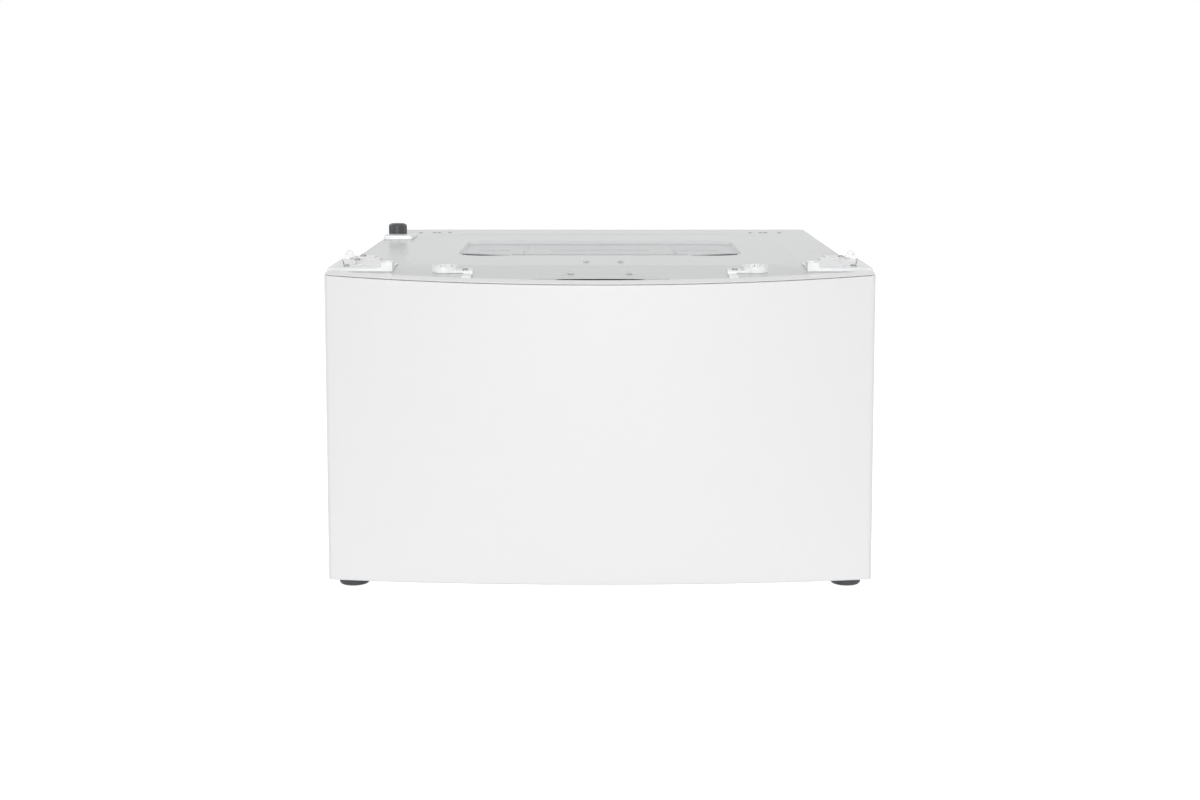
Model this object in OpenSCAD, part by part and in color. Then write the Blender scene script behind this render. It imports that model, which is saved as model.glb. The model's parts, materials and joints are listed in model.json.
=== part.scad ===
// Pedestal washer: a low washing machine in a drawer that carries a larger laundry machine on its top.
// X runs to the right, the bowed front faces -Y, Z is up, and the four feet stand on z = 0.

/* [Overall] */
// Width across the bowed front
front_w = 600; // [590:1:620]
// Depth from the front's side corners to the rear edge of the top plate
side_depth = 590; // [580:1:620]
// Height of the top plate above the floor
top_h = 365; // [365:1:372]
// How far the cabinet's sides stand in from the front's corners
cab_inset = 14; // [13:0.5:16]
// Height of the base frame above the floor
base_h = 24; // [22:1:26]

/* [Bowed front] */
// How far the top edge bows out at its middle
bow_top = 60; // [50:1:64]
// How far the bottom edge bows out at its middle
bow_bottom = 38; // [34:1:44]
// Fall of the top edge and the apron, per millimetre forwards
front_slope = 0.073; // [0.06:0.001:0.08]
// Drop of the front's top edge below the top plate, at its corners
rim_drop = 2.5; // [2:0.1:3]
// Height of the front's lower edge above the floor, at its corners
lower_edge = 23; // [20:1:25]
// Rise of the lower edge at its middle
lower_arch = 4.5; // [3:0.1:6]
// Wall of the front panel
front_wall = 2; // [1.5:0.1:2.5]
// Depth of the front's top rim
rim_depth = 22; // [20:1:24]
// Thickness of the top rim's visible edge
rim_t = 1; // [0.8:0.1:1.5]
// Shadow seam between the rim and the panel
seam = 0.8; // [0.5:0.1:1.2]
// Radius on the front's upright corners
corner_r = 5; // [3:0.5:8]
// Width of the finger pull
pull_w = 150; // [130:1:170]
// Depth of the finger pull
pull_d = 30; // [26:1:33]
// How far each end of the finger pull slants in
pull_taper = 45; // [36:1:52]

/* [Top plate] */
// Thickness of the top plate
plate_t = 1.5; // [1.2:0.1:2]
// Height of the top plate's turned-down edge
skirt_h = 18; // [15:1:19]
// Gap between the top plate and the drawer front's rim
rim_gap = 1.5; // [1:0.1:2.5]
// Distance of the embossed bead behind the front corners
bead_front = 62; // [58:1:66]
// Distance of the embossed bead from the top plate's side edges
bead_side = 51; // [46:1:60]
// Distance of the embossed bead in front of the top plate's rear edge
bead_back = 80; // [75:1:90]
// Corner radius of the embossed bead
bead_r = 75; // [60:1:90]
// Radius of the bead's round section
bead_section = 10; // [8:0.5:12]
// Width of the sunk recess
recess_w = 340; // [320:1:350]
// Length of the sunk recess
recess_len = 208; // [190:1:220]
// Distance of the recess behind the front corners
recess_front = 189; // [184:1:196]
// Corner radius of the recess
recess_r = 32; // [24:1:40]
// Depth of the recess cover below the top plate
recess_d = 3.5; // [3:0.5:4.5]

/* [Cabinet] */
// Sheet thickness of the side and rear panels
sheet = 1.2; // [1:0.1:1.5]
// Sheet thickness of the base frame
base_t = 2; // [1.5:0.1:2.5]
// Height of the base frame's rim
base_rim = 20; // [18:1:22]
// Setback of the rear panel from the top plate's rear edge
rear_inset = 20; // [18:1:24]
// Radius of a foot's pad
foot_r = 17; // [15:0.5:18]
// Radius of a foot's threaded stud
stud_r = 5; // [4:0.5:6]
// Distance of the front feet in from the cabinet's sides
foot_inset = 5; // [4:0.5:8]
// Distance of the front feet behind the front corners
foot_back = 74; // [70:1:80]

/* [Slides] */
// Gap between the slides' rear ends and the rear panel
slide_rear = 31; // [20:1:50]
// Distance of the slides behind the cabinet's front edge
slide_back = 15; // [10:1:20]
// Height of the outer slide member
slide_h = 43; // [40:1:46]
// Sheet thickness of the slide members
slide_t = 2; // [1.5:0.1:2.2]
// Height of the slides' middle above the floor
slide_z = 120; // [110:1:130]
// Running clearance of the slides
slide_gap = 0.3; // [0.2:0.05:0.4]

/* [Drawer] */
// Gap between the drawer tray and the slides' outer faces
tray_side = 16; // [15.5:0.5:17]
// Height of the tray's floor above the floor
tray_z = 46; // [45:1:47]
// Height of the tray's top flange above the floor
tray_top = 300; // [296:1:302]
// Height of the deck's top face above the floor
deck_z = 338; // [336:1:339]
// Thickness of the deck
deck_t = 2.5; // [2:0.1:3]
// How far the lid overlaps the mouth at each side
lid_lap = 16; // [14:1:20]
// How far the lid overlaps the mouth at the front
lid_front_lap = 5; // [4:1:8]
// Distance of the lid's hinge behind the mouth
hinge_back = 15; // [14:1:18]
// Thickness of the lid
lid_t = 9; // [8:0.5:9.5]
// How far the mouth under the lid lies inside the basket's wall
mouth_inset = 50; // [46:1:56]
// Radius of the lid's hinge pins
hinge_pin_r = 2.5; // [2:0.1:3]
// Radius of a push button
button_r = 8; // [7:0.5:9]
// Travel of a push button
button_travel = 2; // [1.5:0.1:2.5]

/* [Tub] */
// Gap between the tub and the tray at the sides
tub_side = 19; // [18:0.5:24]
// Gap between the tub and the tray at the front and the rear
tub_gap = 14; // [12:0.5:18]
// Gap between the tray's rear and the rear panel
tray_back = 23.3; // [20:0.1:30]
// Wall of the tub
tub_wall = 3; // [2.5:0.1:4]
// Height of the tub's underside above the floor
tub_z = 104; // [103:1:106]
// Height of the tub's rim above the floor
tub_top = 312; // [308:1:313]
// Gap between the tub and the basket
basket_gap = 22; // [18:1:26]
// Wall of the basket
basket_wall = 1.2; // [1:0.1:1.6]
// How far the pulsator's edge lies inside the basket's wall
pulsator_inset = 76; // [65:1:90]
// How far the tub may bounce each way on its springs
bounce = 6; // [4:0.5:6]
// Radius of a suspension rod
rod_r = 4; // [3.5:0.1:4.5]
// Outer radius of the motor's rotor
rotor_r = 114; // [105:1:118]
// Radius of the pulsator's shaft
shaft_r = 8; // [7:0.5:9]
// Wall of the basket's hollow shaft
hollow_wall = 6; // [5:0.5:6.5]

/* [Fits] */
// Gap between pieces that seat on each other
seat = 0.3; // [0.2:0.05:0.4]
// Radial clearance of a shaft or pin in its bore
running = 0.06; // [0.03:0.01:0.1]

/* [Hidden] */
$fn = 64;
e = 1;

half_w = front_w / 2;
cab_w = front_w - 2 * cab_inset;
half_cab = cab_w / 2;
corner_y = bow_top - (side_depth + bow_top) / 2;
rear_y = corner_y + side_depth;
bend_y = corner_y + bead_front;
rear_panel_y = rear_y - rear_inset;
bead_w = cab_w - 2 * bead_side;
bead_len = side_depth - bead_front - bead_back;

side_x = half_cab - plate_t - seat;
base_top = base_h + base_rim;
plate_low = top_h - skirt_h;
foot_x = half_cab - foot_inset;
foot_y = corner_y + foot_back;
rear_foot_x = half_cab - 24;
rear_foot_y = rear_panel_y - 24;

// A circle through the front's side corners that bows out by b at the middle
function bow_r(b) = (half_w * half_w + b * b) / (2 * b);
function bow_y(x, b) = corner_y + bow_r(b) - b - sqrt(pow(bow_r(b), 2) - x * x);
// Height of the rim's sloping top face and of the top plate's surface
function rim_z(y) = top_h - rim_drop + front_slope * (y - corner_y);
function plate_z(y) = y < bend_y ? top_h - front_slope * (bend_y - y) : top_h;
// The bow changes evenly from the bottom edge to the top edge
function bow_at(z) = bow_bottom + (bow_top - bow_bottom) * (z - lower_edge) / (top_h - lower_edge);
function face_y(x, z) = bow_y(x, bow_at(z));

// A disc whose front edge is the bow, moved back by inset
module bow_disc(b, inset = 0) {
    translate([0, corner_y + bow_r(b) - b])
        circle(r = bow_r(b) - inset, $fn = 360);
}

// An outline in Y and Z, extruded along X from x0 to x1
module along_x(x0, x1) {
    translate([x0, 0, 0])
        rotate([90, 0, 90])
            linear_extrude(x1 - x0) children();
}

module block(x0, x1, y0, y1, z0, z1) {
    translate([x0, y0, z0]) cube([x1 - x0, y1 - y0, z1 - z0]);
}

// A round rod from a point backwards, along Y
module rod_y(p, r, h) {
    translate(p) rotate([-90, 0, 0]) cylinder(r = r, h = h);
}

module rounded_rect(w, l, r) {
    translate([-w / 2 + r, -l / 2]) square([w - 2 * r, l]);
    translate([-w / 2, -l / 2 + r]) square([w, l - 2 * r]);
    for (x = [-1, 1], y = [-1, 1])
        translate([x * (w / 2 - r), y * (l / 2 - r)]) circle(r = r);
}

module ring(r_out, r_in, z0, z1) {
    translate([0, 0, z0])
        linear_extrude(z1 - z0)
            difference() {
                circle(r = r_out);
                circle(r = r_in);
            }
}

// An outline in X and Z, extruded along Y from y0 to y1
module along_y(y0, y1) {
    translate([0, y1, 0])
        rotate([90, 0, 0])
            linear_extrude(y1 - y0) children();
}

// The top plate's outline, drawn in by inset, with a straight-cut finger pull at the front
module plate_outline(inset = 0, pull = true) {
    back = rim_depth + rim_gap;
    edge_y = corner_y - bow_top + back;
    pull_x = pull_w / 2 + inset;
    pull_y = edge_y + pull_d + inset;
    intersection() {
        translate([-half_cab + inset, corner_y - bow_top])
            square([cab_w - 2 * inset, side_depth + bow_top - inset]);
        difference() {
            bow_disc(bow_top, back + inset);
            if (pull) polygon([
                [-pull_x, edge_y - 5], [-pull_x, edge_y + 4], [pull_taper - pull_x, pull_y],
                [pull_x - pull_taper, pull_y], [pull_x, edge_y + 4], [pull_x, edge_y - 5]
            ]);
        }
    }
}

// Everything under the top plate's surface, lowered by drop
module under_plate(drop = 0, z0 = 0) {
    y0 = corner_y - bow_top - e;
    y1 = rear_y + e;
    along_x(-half_w - e, half_w + e)
        polygon([
            [y0, z0], [y1, z0], [y1, top_h - drop], [bend_y, top_h - drop], [y0, plate_z(y0) - drop]
        ]);
}

// A round tube along the embossed bead's path
module bead_tube(r) {
    w = bead_w / 2 - bead_r;
    l = bead_len / 2 - bead_r;
    path_r = bead_r - bead_half;
    translate([0, bend_y + bead_len / 2, top_h + bead_rise - bead_section]) {
        for (s = [-1, 1]) {
            rod_y([s * (w + path_r), -l, 0], r, 2 * l);
            translate([-w, s * (l + path_r), 0]) rotate([0, 90, 0]) cylinder(r = r, h = 2 * w);
        }
        for (q = [[1, 1, 0], [-1, 1, 90], [-1, -1, 180], [1, -1, 270]])
            translate([q[0] * w, q[1] * l, 0])
                rotate(q[2])
                    rotate_extrude(angle = 90) translate([path_r, 0]) circle(r = r);
    }
}

bead_rise = 1.2;
bead_half = sqrt(bead_rise * (2 * bead_section - bead_rise));
recess_y = corner_y + recess_front + recess_len / 2;
rear_hole_y = rear_y - 57;
edge_hole_y = rear_y - 9;
rear_hole_x = [207, 221, 228, 247];
edge_hole_x = [222, 247];
apron_screws = [[-32, 13], [32, 13]];
plate_screws = [[-16, 111], [24, 111]];
clip_x = 171;
clip_y = corner_y + 33;
clip_screw = [148, 25];
screw_head_r = 3.4;
screw_r = 1.5;

module top_plate() {
    color([0.85, 0.86, 0.86])
    difference() {
        union() {
            difference() {
                intersection() {
                    translate([0, 0, plate_low]) linear_extrude(skirt_h + e) plate_outline();
                    under_plate();
                }
                intersection() {
                    translate([0, 0, plate_low - e]) linear_extrude(skirt_h + e)
                        plate_outline(plate_t, false);
                    under_plate(plate_t);
                }
            }
            intersection() {
                bead_tube(bead_section);
                block(-half_cab, half_cab, corner_y, rear_y, top_h - plate_t, top_h + bead_rise + e);
            }
        }
        bead_tube(bead_section - plate_t);
        translate([0, recess_y, top_h - plate_t - e])
            linear_extrude(plate_t + 2 * e) rounded_rect(recess_w, recess_len, recess_r);
        for (s = [-1, 1]) {
            for (x = rear_hole_x) drill(s * x, rear_hole_y, 2);
            for (x = edge_hole_x) drill(s * x, edge_hole_y, 1.6);
            drill(s * clip_screw[0], corner_y + clip_screw[1], screw_r + 0.3);
            for (p = s < 0 ? bracket_screws_left : bracket_screws_right)
                drill(s * p[0], corner_y + p[1], screw_r + 0.3);
        }
        for (p = concat(apron_screws, plate_screws)) drill(p[0], corner_y + p[1], screw_r + 0.3);
        drill(knob_x, knob_y, anchor_shaft_r + 0.4);
    }
}

// An upright hole through the top plate
module drill(x, y, r) {
    translate([x, y, plate_low + 4]) cylinder(r = r, h = skirt_h);
}

module recess_cover() {
    cover_z = top_h - recess_d;
    lap = 10;
    inner_l = recess_len / 2;
    color([0.78, 0.79, 0.8])
    difference() {
        translate([0, recess_y, 0]) {
            translate([0, 0, cover_z - 1.5])
                linear_extrude(1.5) rounded_rect(recess_w + 2 * lap, recess_len + 2 * lap, recess_r + lap);
            translate([0, 0, cover_z - 1.5])
                linear_extrude(top_h - plate_t - seat - cover_z + 1.5)
                    difference() {
                        rounded_rect(recess_w + 2 * lap, recess_len + 2 * lap, recess_r + lap);
                        rounded_rect(recess_w + 2, recess_len + 2, recess_r + 1);
                    }
            for (x = [[-152, -112], [-62, 62], [92, 148]])
                block(x[0], x[1], 2, 7, cover_z - e, cover_z + 1.2);
            for (s = [-1, 1]) block(s * 93 - 3, s * 93 + 3, -inner_l + 58, inner_l - 30, cover_z - e,
                cover_z + 1);
            block(-120, 120, inner_l - 26, inner_l - 22, cover_z - e, cover_z + 1);
        }
        // Dark slots along the near edge, wider at both ends
        for (s = [-1, 1]) translate([s * 137, recess_y - inner_l + 50, cover_z])
            cube([50, 40, 10], center = true);
        translate([0, recess_y - inner_l + 42, cover_z]) cube([214, 16, 10], center = true);
        for (x = [-21, 24]) translate([x, recess_y + inner_l - 12, cover_z])
            cube([22, 5, 10], center = true);
    }
}

module base_frame() {
    color([0.8, 0.81, 0.82])
    difference() {
        union() {
            difference() {
                block(-side_x, side_x, cabinet_front, rear_panel_y, base_h, base_top);
                block(-side_x + base_t, side_x - base_t, cabinet_front + base_t, rear_panel_y - base_t,
                      base_h + base_t, base_top + e);
            }
            for (s = [-1, 1]) {
                x = s * (side_x - sheet - seat - base_t / 2);
                block(x - base_t / 2, x + base_t / 2, cabinet_front + base_t, rear_panel_y - base_t,
                      base_h + base_t / 2, base_top + 12);
                foot_block(s * foot_x, foot_y);
                foot_block(s * rear_foot_x, rear_foot_y);
            }
            // Pressed stiffening ribs across the floor
            for (y = [-150 : 75 : 225])
                block(-190, 190, y - 6, y + 6, base_h + base_t / 2, base_h + base_t + 3);
        }
        for (s = [-1, 1]) {
            translate([s * foot_x, foot_y, base_h - e])
                cylinder(r = stud_r + running, h = base_rim + 2 * e);
            translate([s * rear_foot_x, rear_foot_y, base_h - e])
                cylinder(r = stud_r + running, h = base_rim + 2 * e);
        }
        for (y = [-150 : 75 : 225]) block(-184, 184, y - 4, y + 4, base_h - e, base_h + base_t + 1);
        for (x = [-90, 90], y = [-112.5, 187.5]) translate([x, y, base_h - e])
            cylinder(r = 14, h = base_t + 2 * e);
    }
}

module foot_block(x, y) {
    block(x - foot_r, x + foot_r, y - 22, y + 22, base_h, base_top);
}

module foot(x, y) {
    color([0.28, 0.29, 0.3])
    translate([x, y, 0])
        union() {
            rotate_extrude()
                polygon([
                    [0, 0], [foot_r - 1.5, 0], [foot_r, 1.5], [foot_r, 6], [foot_r - 2, 8.5], [11, 11],
                    [11, 12], [0, 12]
                ]);
            // A spanner nut on the neck
            translate([0, 0, 11]) cylinder(r = 9.4, h = 8.5, $fn = 6);
            rotate_extrude()
                polygon([
                    [0, 11], [stud_r, 11], [stud_r, base_top - 2], [stud_r - 1, base_top - 1],
                        [0, base_top - 1]
                ]);
        }
}

module foot_front_left() { foot(-foot_x, foot_y); }
module foot_front_right() { foot(foot_x, foot_y); }
module foot_rear_left() { foot(-rear_foot_x, rear_foot_y); }
module foot_rear_right() { foot(rear_foot_x, rear_foot_y); }

cabinet_front = corner_y + rim_depth + 2;

// The right side panel, with two pressed beads and turned-in flanges
module side_panel() {
    z0 = base_top + seat;
    z1 = top_h - plate_t - seat;
    y1 = rear_panel_y - seat;
    flange = 12;
    color([0.9, 0.9, 0.9])
    difference() {
        intersection() {
            union() {
                block(side_x - sheet, side_x, cabinet_front, y1, z0, z1);
                block(side_x - flange, side_x, y1 - sheet, y1, z0, z1);
                block(side_x - flange, side_x, cabinet_front, cabinet_front + sheet, slide_z + slide_h, z1);
                block(side_x - flange, side_x, cabinet_front, y1, z1 - sheet, z1);
                for (z = bead_zs)
                    rod_y([side_x + 3.5, cabinet_front + 50, z], 6.2, y1 - cabinet_front - 100);
            }
            under_plate(plate_t + seat);
            block(side_x - flange, side_x, cabinet_front, y1, z0, z1);
        }
        for (z = bead_zs)
            rod_y([side_x + 3.5, cabinet_front + 52, z], 5, y1 - cabinet_front - 104);
        for (y = slide_screw_ys)
            translate([side_x - flange, y, slide_z]) rotate([0, 90, 0]) cylinder(r = 2.5, h = 20);
    }
}

bead_zs = [205, 265, 325];
slide_y = cabinet_front + slide_back;
slide_len = rear_panel_y - slide_rear - slide_y;
slide_screw_ys = [slide_y + 30, slide_y + slide_len / 2, slide_y + slide_len - 30];

module side_panel_left() { mirror([1, 0, 0]) side_panel(); }
module side_panel_right() { side_panel(); }

inlet_x = [118, 166];
inlet_z = 262;
inlet_r = 13.2;
inlet_bore = 8;
outlet_x = 205;
outlet_z = 118;
outlet_r = 15;
cord_x = -205;
cord_z = 118;

module rear_panel() {
    z1 = top_h - plate_t - seat;
    color([0.86, 0.87, 0.87])
    difference() {
        union() {
            block(-side_x, side_x, rear_panel_y, rear_panel_y + sheet, base_top + seat, z1);
            // A pressed field round the access area
            translate([0, rear_panel_y + sheet + 2, 205])
                rotate([90, 0, 0]) linear_extrude(2 + sheet)
                    difference() {
                        rounded_rect(280, 200, 24);
                        rounded_rect(268, 188, 18);
                    }
            block(-side_x + 16, side_x - 16, rear_panel_y, rear_panel_y + 10, z1 - sheet, z1);
        }
        for (x = inlet_x) along_rear(x, inlet_z, inlet_r + 1.3);
        along_rear(outlet_x, outlet_z, outlet_r + 0.8);
        along_rear(cord_x, cord_z, 9);
        // Two rows of vent slots
        for (i = [0 : 8], z = [top_h - 60, top_h - 40])
            block(-96 + 24 * i, -80 + 24 * i, rear_panel_y - e, rear_panel_y + 6, z, z + 5);
    }
}

module along_rear(x, z, r) {
    rod_y([x, rear_panel_y - 8, z], r, 18);
}

module inlet_valve() {
    reach = rear_y - 1;
    back = rear_panel_y - seat;
    color([0.93, 0.93, 0.92])
    difference() {
        union() {
            block(inlet_x[0] - 20, inlet_x[1] + 20, back - 3, back, inlet_z - 19, inlet_z + 19);
            block(inlet_x[0] - 17, inlet_x[1] + 17, back - 18, back - 2, inlet_z - 17, inlet_z + 17);
            for (x = inlet_x) {
                rod_y([x, back - 2, inlet_z], inlet_r, reach - back + 2);
                translate([x, back - 10, inlet_z + 10]) cylinder(r = 7.5, h = 22);
            }
            translate([(inlet_x[0] + inlet_x[1]) / 2, back - 10, inlet_z - 34]) cylinder(r = 7, h = 20);
        }
        for (x = inlet_x) rod_y([x, back - 8, inlet_z], inlet_bore, 40);
    }
}

module drain_outlet() {
    back = rear_panel_y - seat;
    color([0.35, 0.36, 0.37])
    difference() {
        union() {
            rod_y([outlet_x, back - 3, outlet_z], 21, 3);
            rod_y([outlet_x, back - 3, outlet_z], outlet_r - 2, 22);
            for (i = [0 : 2])
                translate([outlet_x, back + 5 + 5 * i, outlet_z])
                    rotate([-90, 0, 0]) cylinder(r1 = outlet_r, r2 = outlet_r - 2, h = 4);
            translate([outlet_x, back - 9, outlet_z - 6]) cylinder(r = 9, h = 44);
        }
        rod_y([outlet_x, back - 9, outlet_z], outlet_r - 5, 40);
        translate([outlet_x, back - 9, outlet_z + 2]) cylinder(r = 6.5, h = 44);
    }
}

module power_inlet() {
    back = rear_panel_y;
    color([0.2, 0.2, 0.21])
    difference() {
        union() {
            rod_y([cord_x, back + sheet + seat, cord_z], 13, 3);
            rod_y([cord_x, back - 6, cord_z], 8.7, 8);
            translate([cord_x, back + sheet + seat + 2, cord_z]) rotate([-90, 0, 0])
                cylinder(r1 = 9, r2 = 7, h = 10);
        }
        rod_y([cord_x, back - 8, cord_z], 4.2, 30);
    }
}

module controller_box() {
    back = rear_panel_y - seat;
    color([0.3, 0.34, 0.38])
    difference() {
        union() {
            block(-150, 20, back - 18, back, 150, 250);
            for (x = [-150, 20], z = [165, 235]) block(x - 9, x + 9, back - 3, back, z - 7, z + 7);
        }
        for (i = [0 : 9]) block(-138 + 16 * i, -130 + 16 * i, back - 18 - e, back - 17, 160, 240);
    }
}

bracket_z = top_h + 1.5;
bracket_len = 133;
bracket_w = 72;
bracket_wall = 2.5;
// Screw places, as distance from the middle and distance behind the front corners
bracket_screws_left = [[half_cab - 7, 171], [half_cab - 7, 121], [half_cab - 4, 50]];
bracket_screws_right = [[half_cab - 4, 158], [half_cab - 4, 50]];

// The right corner bracket, moulded to the sloping apron and wrapped round the cabinet's edge
module corner_bracket(screws) {
    y0 = cabinet_front;
    y1 = y0 + bracket_len;
    skirt_x = half_cab + seat;
    tab_x = half_w - 9;
    inner_x = half_w - bracket_w;
    rear_x = half_w - 36;
    tab_r = 5;
    color([0.93, 0.94, 0.95])
    difference() {
        union() {
            difference() {
                translate([0, 0, plate_low])
                    linear_extrude(bracket_z - plate_low)
                        polygon([
                            [inner_x, y0], [half_w, y0], [half_w, y1], [half_w - 8, y1 + 20],
                                [rear_x, y1 + 20],
                            [rear_x, y1 - 2], [rear_x - 10, y1 - 12], [rear_x - 10, y0 + 94],
                            [inner_x + 13, y0 + 78], [inner_x, y0 + 60]
                        ]);
                under_plate(-seat);
            }
            difference() {
                block(skirt_x, half_w, y0, y1, plate_low + 2, bracket_z);
                for (i = [0 : 3]) {
                    bay = (bracket_len - bracket_wall) / 4;
                    block(skirt_x + bracket_wall, half_w - bracket_wall, y0 + bracket_wall + i * bay,
                          y0 + (i + 1) * bay, plate_low, bracket_z - bracket_wall);
                }
            }
            // Raised locating block at the inner front corner
            difference() {
                block(inner_x, inner_x + 13, y0, y0 + 24, top_h, bracket_z + 6);
                block(inner_x + 3, inner_x + 10, y0 + 4, y0 + 20, bracket_z + 3, bracket_z + 7);
                under_plate(-seat);
            }
            // Upright tab with a round top
            along_y(y1 - 22, y1 - 18) {
                translate([tab_x, bracket_z + 5]) circle(r = tab_r);
                polygon([
                    [tab_x - 8, bracket_z - 1], [tab_x + 8, bracket_z - 1],
                    [tab_x + tab_r - 0.5, bracket_z + 6], [tab_x - tab_r + 0.5, bracket_z + 6]
                ]);
            }
            block(tab_x - 1.5, tab_x + 1.5, y1 - 18, y1 - 8, bracket_z - 1, bracket_z + 3);
        }
        rod_y([tab_x, y1 - 30, bracket_z + 6], 1.6, 20);
        // Shallow pockets between the ribs of the top face
        for (p = [[54, 28, 8, 40], [42, 26, 46, 100], [32, 10, 108, 128]])
            block(half_w - p[0], half_w - p[1], y0 + p[2], y0 + p[3], bracket_z - 0.8, bracket_z + e);
        for (p = screws) translate([p[0], corner_y + p[1], top_h - 4]) cylinder(r = screw_r + 0.3, h = 12);
    }
}

module corner_bracket_left() { mirror([1, 0, 0]) corner_bracket(bracket_screws_left); }
module corner_bracket_right() { corner_bracket(bracket_screws_right); }

// The right stacking clip: an oval cup with ribs, two bosses and a screwed tab
module stacking_clip() {
    clip_h = plate_z(clip_y) + 5.5;
    color([0.93, 0.94, 0.95])
    difference() {
        union() {
            difference() {
                translate([clip_x, clip_y, plate_low]) linear_extrude(clip_h - plate_low) clip_oval(14);
                translate([clip_x, clip_y, top_h]) linear_extrude(20) clip_oval(12);
            }
            for (x = [-6, 0, 6]) translate([clip_x + x, clip_y, top_h]) cube([1.6, 20, 8], center = true);
            for (x = [-5.5, 5.5]) translate([clip_x + x, clip_y - 13, plate_low])
                cylinder(r = 3.5, h = clip_h - plate_low - 1);
            block(clip_screw[0] - 8, clip_x - 8, corner_y + 16, corner_y + 38, plate_low, top_h - 0.5);
            block(clip_screw[0] - 9, clip_screw[0] + 1, corner_y - 18, corner_y + 20, plate_low,
                top_h - 1.2);
        }
        for (x = [-5.5, 5.5]) translate([clip_x + x, clip_y - 13, top_h - 2]) cylinder(r = 1.5, h = 20);
        translate([clip_screw[0], corner_y + clip_screw[1], plate_low]) cylinder(r = screw_r + 0.3, h = 40);
        under_plate(-seat);
        // The strip thins towards the rim
        block(clip_screw[0] - 10, clip_screw[0] + 2, corner_y - 30, corner_y + 12, plate_z(corner_y) + 1.6,
            top_h + 5);
    }
}

module clip_oval(r) {
    for (y = [-5, 5]) translate([0, y]) circle(r = r);
    square([2 * r, 10], center = true);
}

module stacking_clip_left() { mirror([1, 0, 0]) stacking_clip(); }
module stacking_clip_right() { stacking_clip(); }

anchor_x = 22.5 - half_cab;
anchor_y = rear_y - 175;
anchor_h = 3;
anchor_shaft_r = 4;
knob_x = anchor_x - 6.5;
knob_y = anchor_y + 42;
knob_r = 12.1;
knob_h = 15.5;

// A thin long pad by the left edge, with a raised rib round its open end
module anchor_block() {
    color([0.93, 0.94, 0.94])
    difference() {
        translate([anchor_x, anchor_y, top_h + seat])
            linear_extrude(anchor_h - seat) rounded_rect(42, 134, 5);
        translate([anchor_x, anchor_y - 18, top_h + anchor_h - 1])
            linear_extrude(4) rounded_rect(36, 92, 3);
        translate([knob_x, knob_y, top_h]) cylinder(r = anchor_shaft_r + running, h = 20);
    }
}

module anchor_knob() {
    z0 = top_h + anchor_h + seat;
    low = top_h - plate_t;
    color([0.25, 0.26, 0.27])
    translate([knob_x, knob_y, 0])
        difference() {
            rotate_extrude()
                polygon([
                    [0, low], [anchor_shaft_r - 0.5, low], [anchor_shaft_r, low + 0.5],
                    [anchor_shaft_r, z0], [knob_r - 1, z0], [knob_r, z0 + 1], [knob_r, z0 + knob_h - 3.5],
                    [knob_r - 0.5, z0 + knob_h - 2], [knob_r - 2, z0 + knob_h - 0.6],
                    [knob_r - 4, z0 + knob_h], [0, z0 + knob_h]
                ]);
            for (i = [0 : 17])
                rotate(20 * i) translate([knob_r + 0.7, 0, z0 + 1.5])
                    cylinder(r = 1.4, h = knob_h, $fn = 16);
        }
}

module screw(x, y, z, len) {
    translate([x, y, z])
        difference() {
            union() {
                rotate_extrude()
                    polygon([
                        [0, 0], [screw_head_r, 0], [screw_head_r, 0.8], [screw_head_r - 0.7, 1.6],
                        [screw_head_r - 2, 2], [0, 2]
                    ]);
                translate([0, 0, -len]) cylinder(r = screw_r, h = len + e / 2);
            }
            for (a = [0, 90]) rotate(a) translate([0, 0, 1.8]) cube([4, 0.9, 1.6], center = true);
        }
}

module top_screws() {
    color([0.3, 0.3, 0.31]) {
        for (p = concat(apron_screws, plate_screws))
            screw(p[0], corner_y + p[1], plate_z(corner_y + p[1]) + seat + 0.1, 6);
        for (p = bracket_screws_left) screw(-p[0], corner_y + p[1], bracket_z + 0.1, 3.1);
        for (p = bracket_screws_right) screw(p[0], corner_y + p[1], bracket_z + 0.1, 3.1);
        for (s = [-1, 1]) screw(s * clip_screw[0], corner_y + clip_screw[1], top_h - 0.4, 7);
    }
}

tray_x = side_x - sheet - tray_side;
slide_x = side_x - sheet - seat;
middle_x = slide_x - slide_t - 1;
middle_h = slide_h - 2 * (slide_t + slide_gap);
inner_h = middle_h - 2 * (slide_t + slide_gap);

// A channel with its web on the outer side: web face at x, flanges reaching inwards by reach
module channel(x, h, reach) {
    difference() {
        translate([x - reach, -h / 2]) square([reach, h]);
        translate([x - reach - e, -h / 2 + slide_t]) square([reach + e - slide_t, h - 2 * slide_t]);
    }
}

module slide_holes(x) {
    for (y = slide_screw_ys) translate([x, y, slide_z]) rotate([0, 90, 0])
        cylinder(r = 2.5, h = 12, center = true);
}

module outer_slides() {
    color([0.7, 0.71, 0.72])
    for (s = [0, 1]) mirror([s, 0, 0])
        difference() {
            translate([0, 0, slide_z]) along_y(slide_y, slide_y + slide_len) channel(slide_x, slide_h, 10);
            slide_holes(slide_x);
        }
}

module middle_slide() {
    color([0.66, 0.67, 0.68])
    difference() {
        translate([0, 0, slide_z]) along_y(slide_y, slide_y + slide_len) channel(middle_x, middle_h, 10);
        for (i = [0 : 5])
            translate([middle_x, slide_y + 50 + 80 * i, slide_z]) rotate([0, 90, 0])
                cylinder(r = 4, h = 12, center = true);
    }
}

module middle_slide_left() { mirror([1, 0, 0]) middle_slide(); }
module middle_slide_right() { middle_slide(); }

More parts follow.
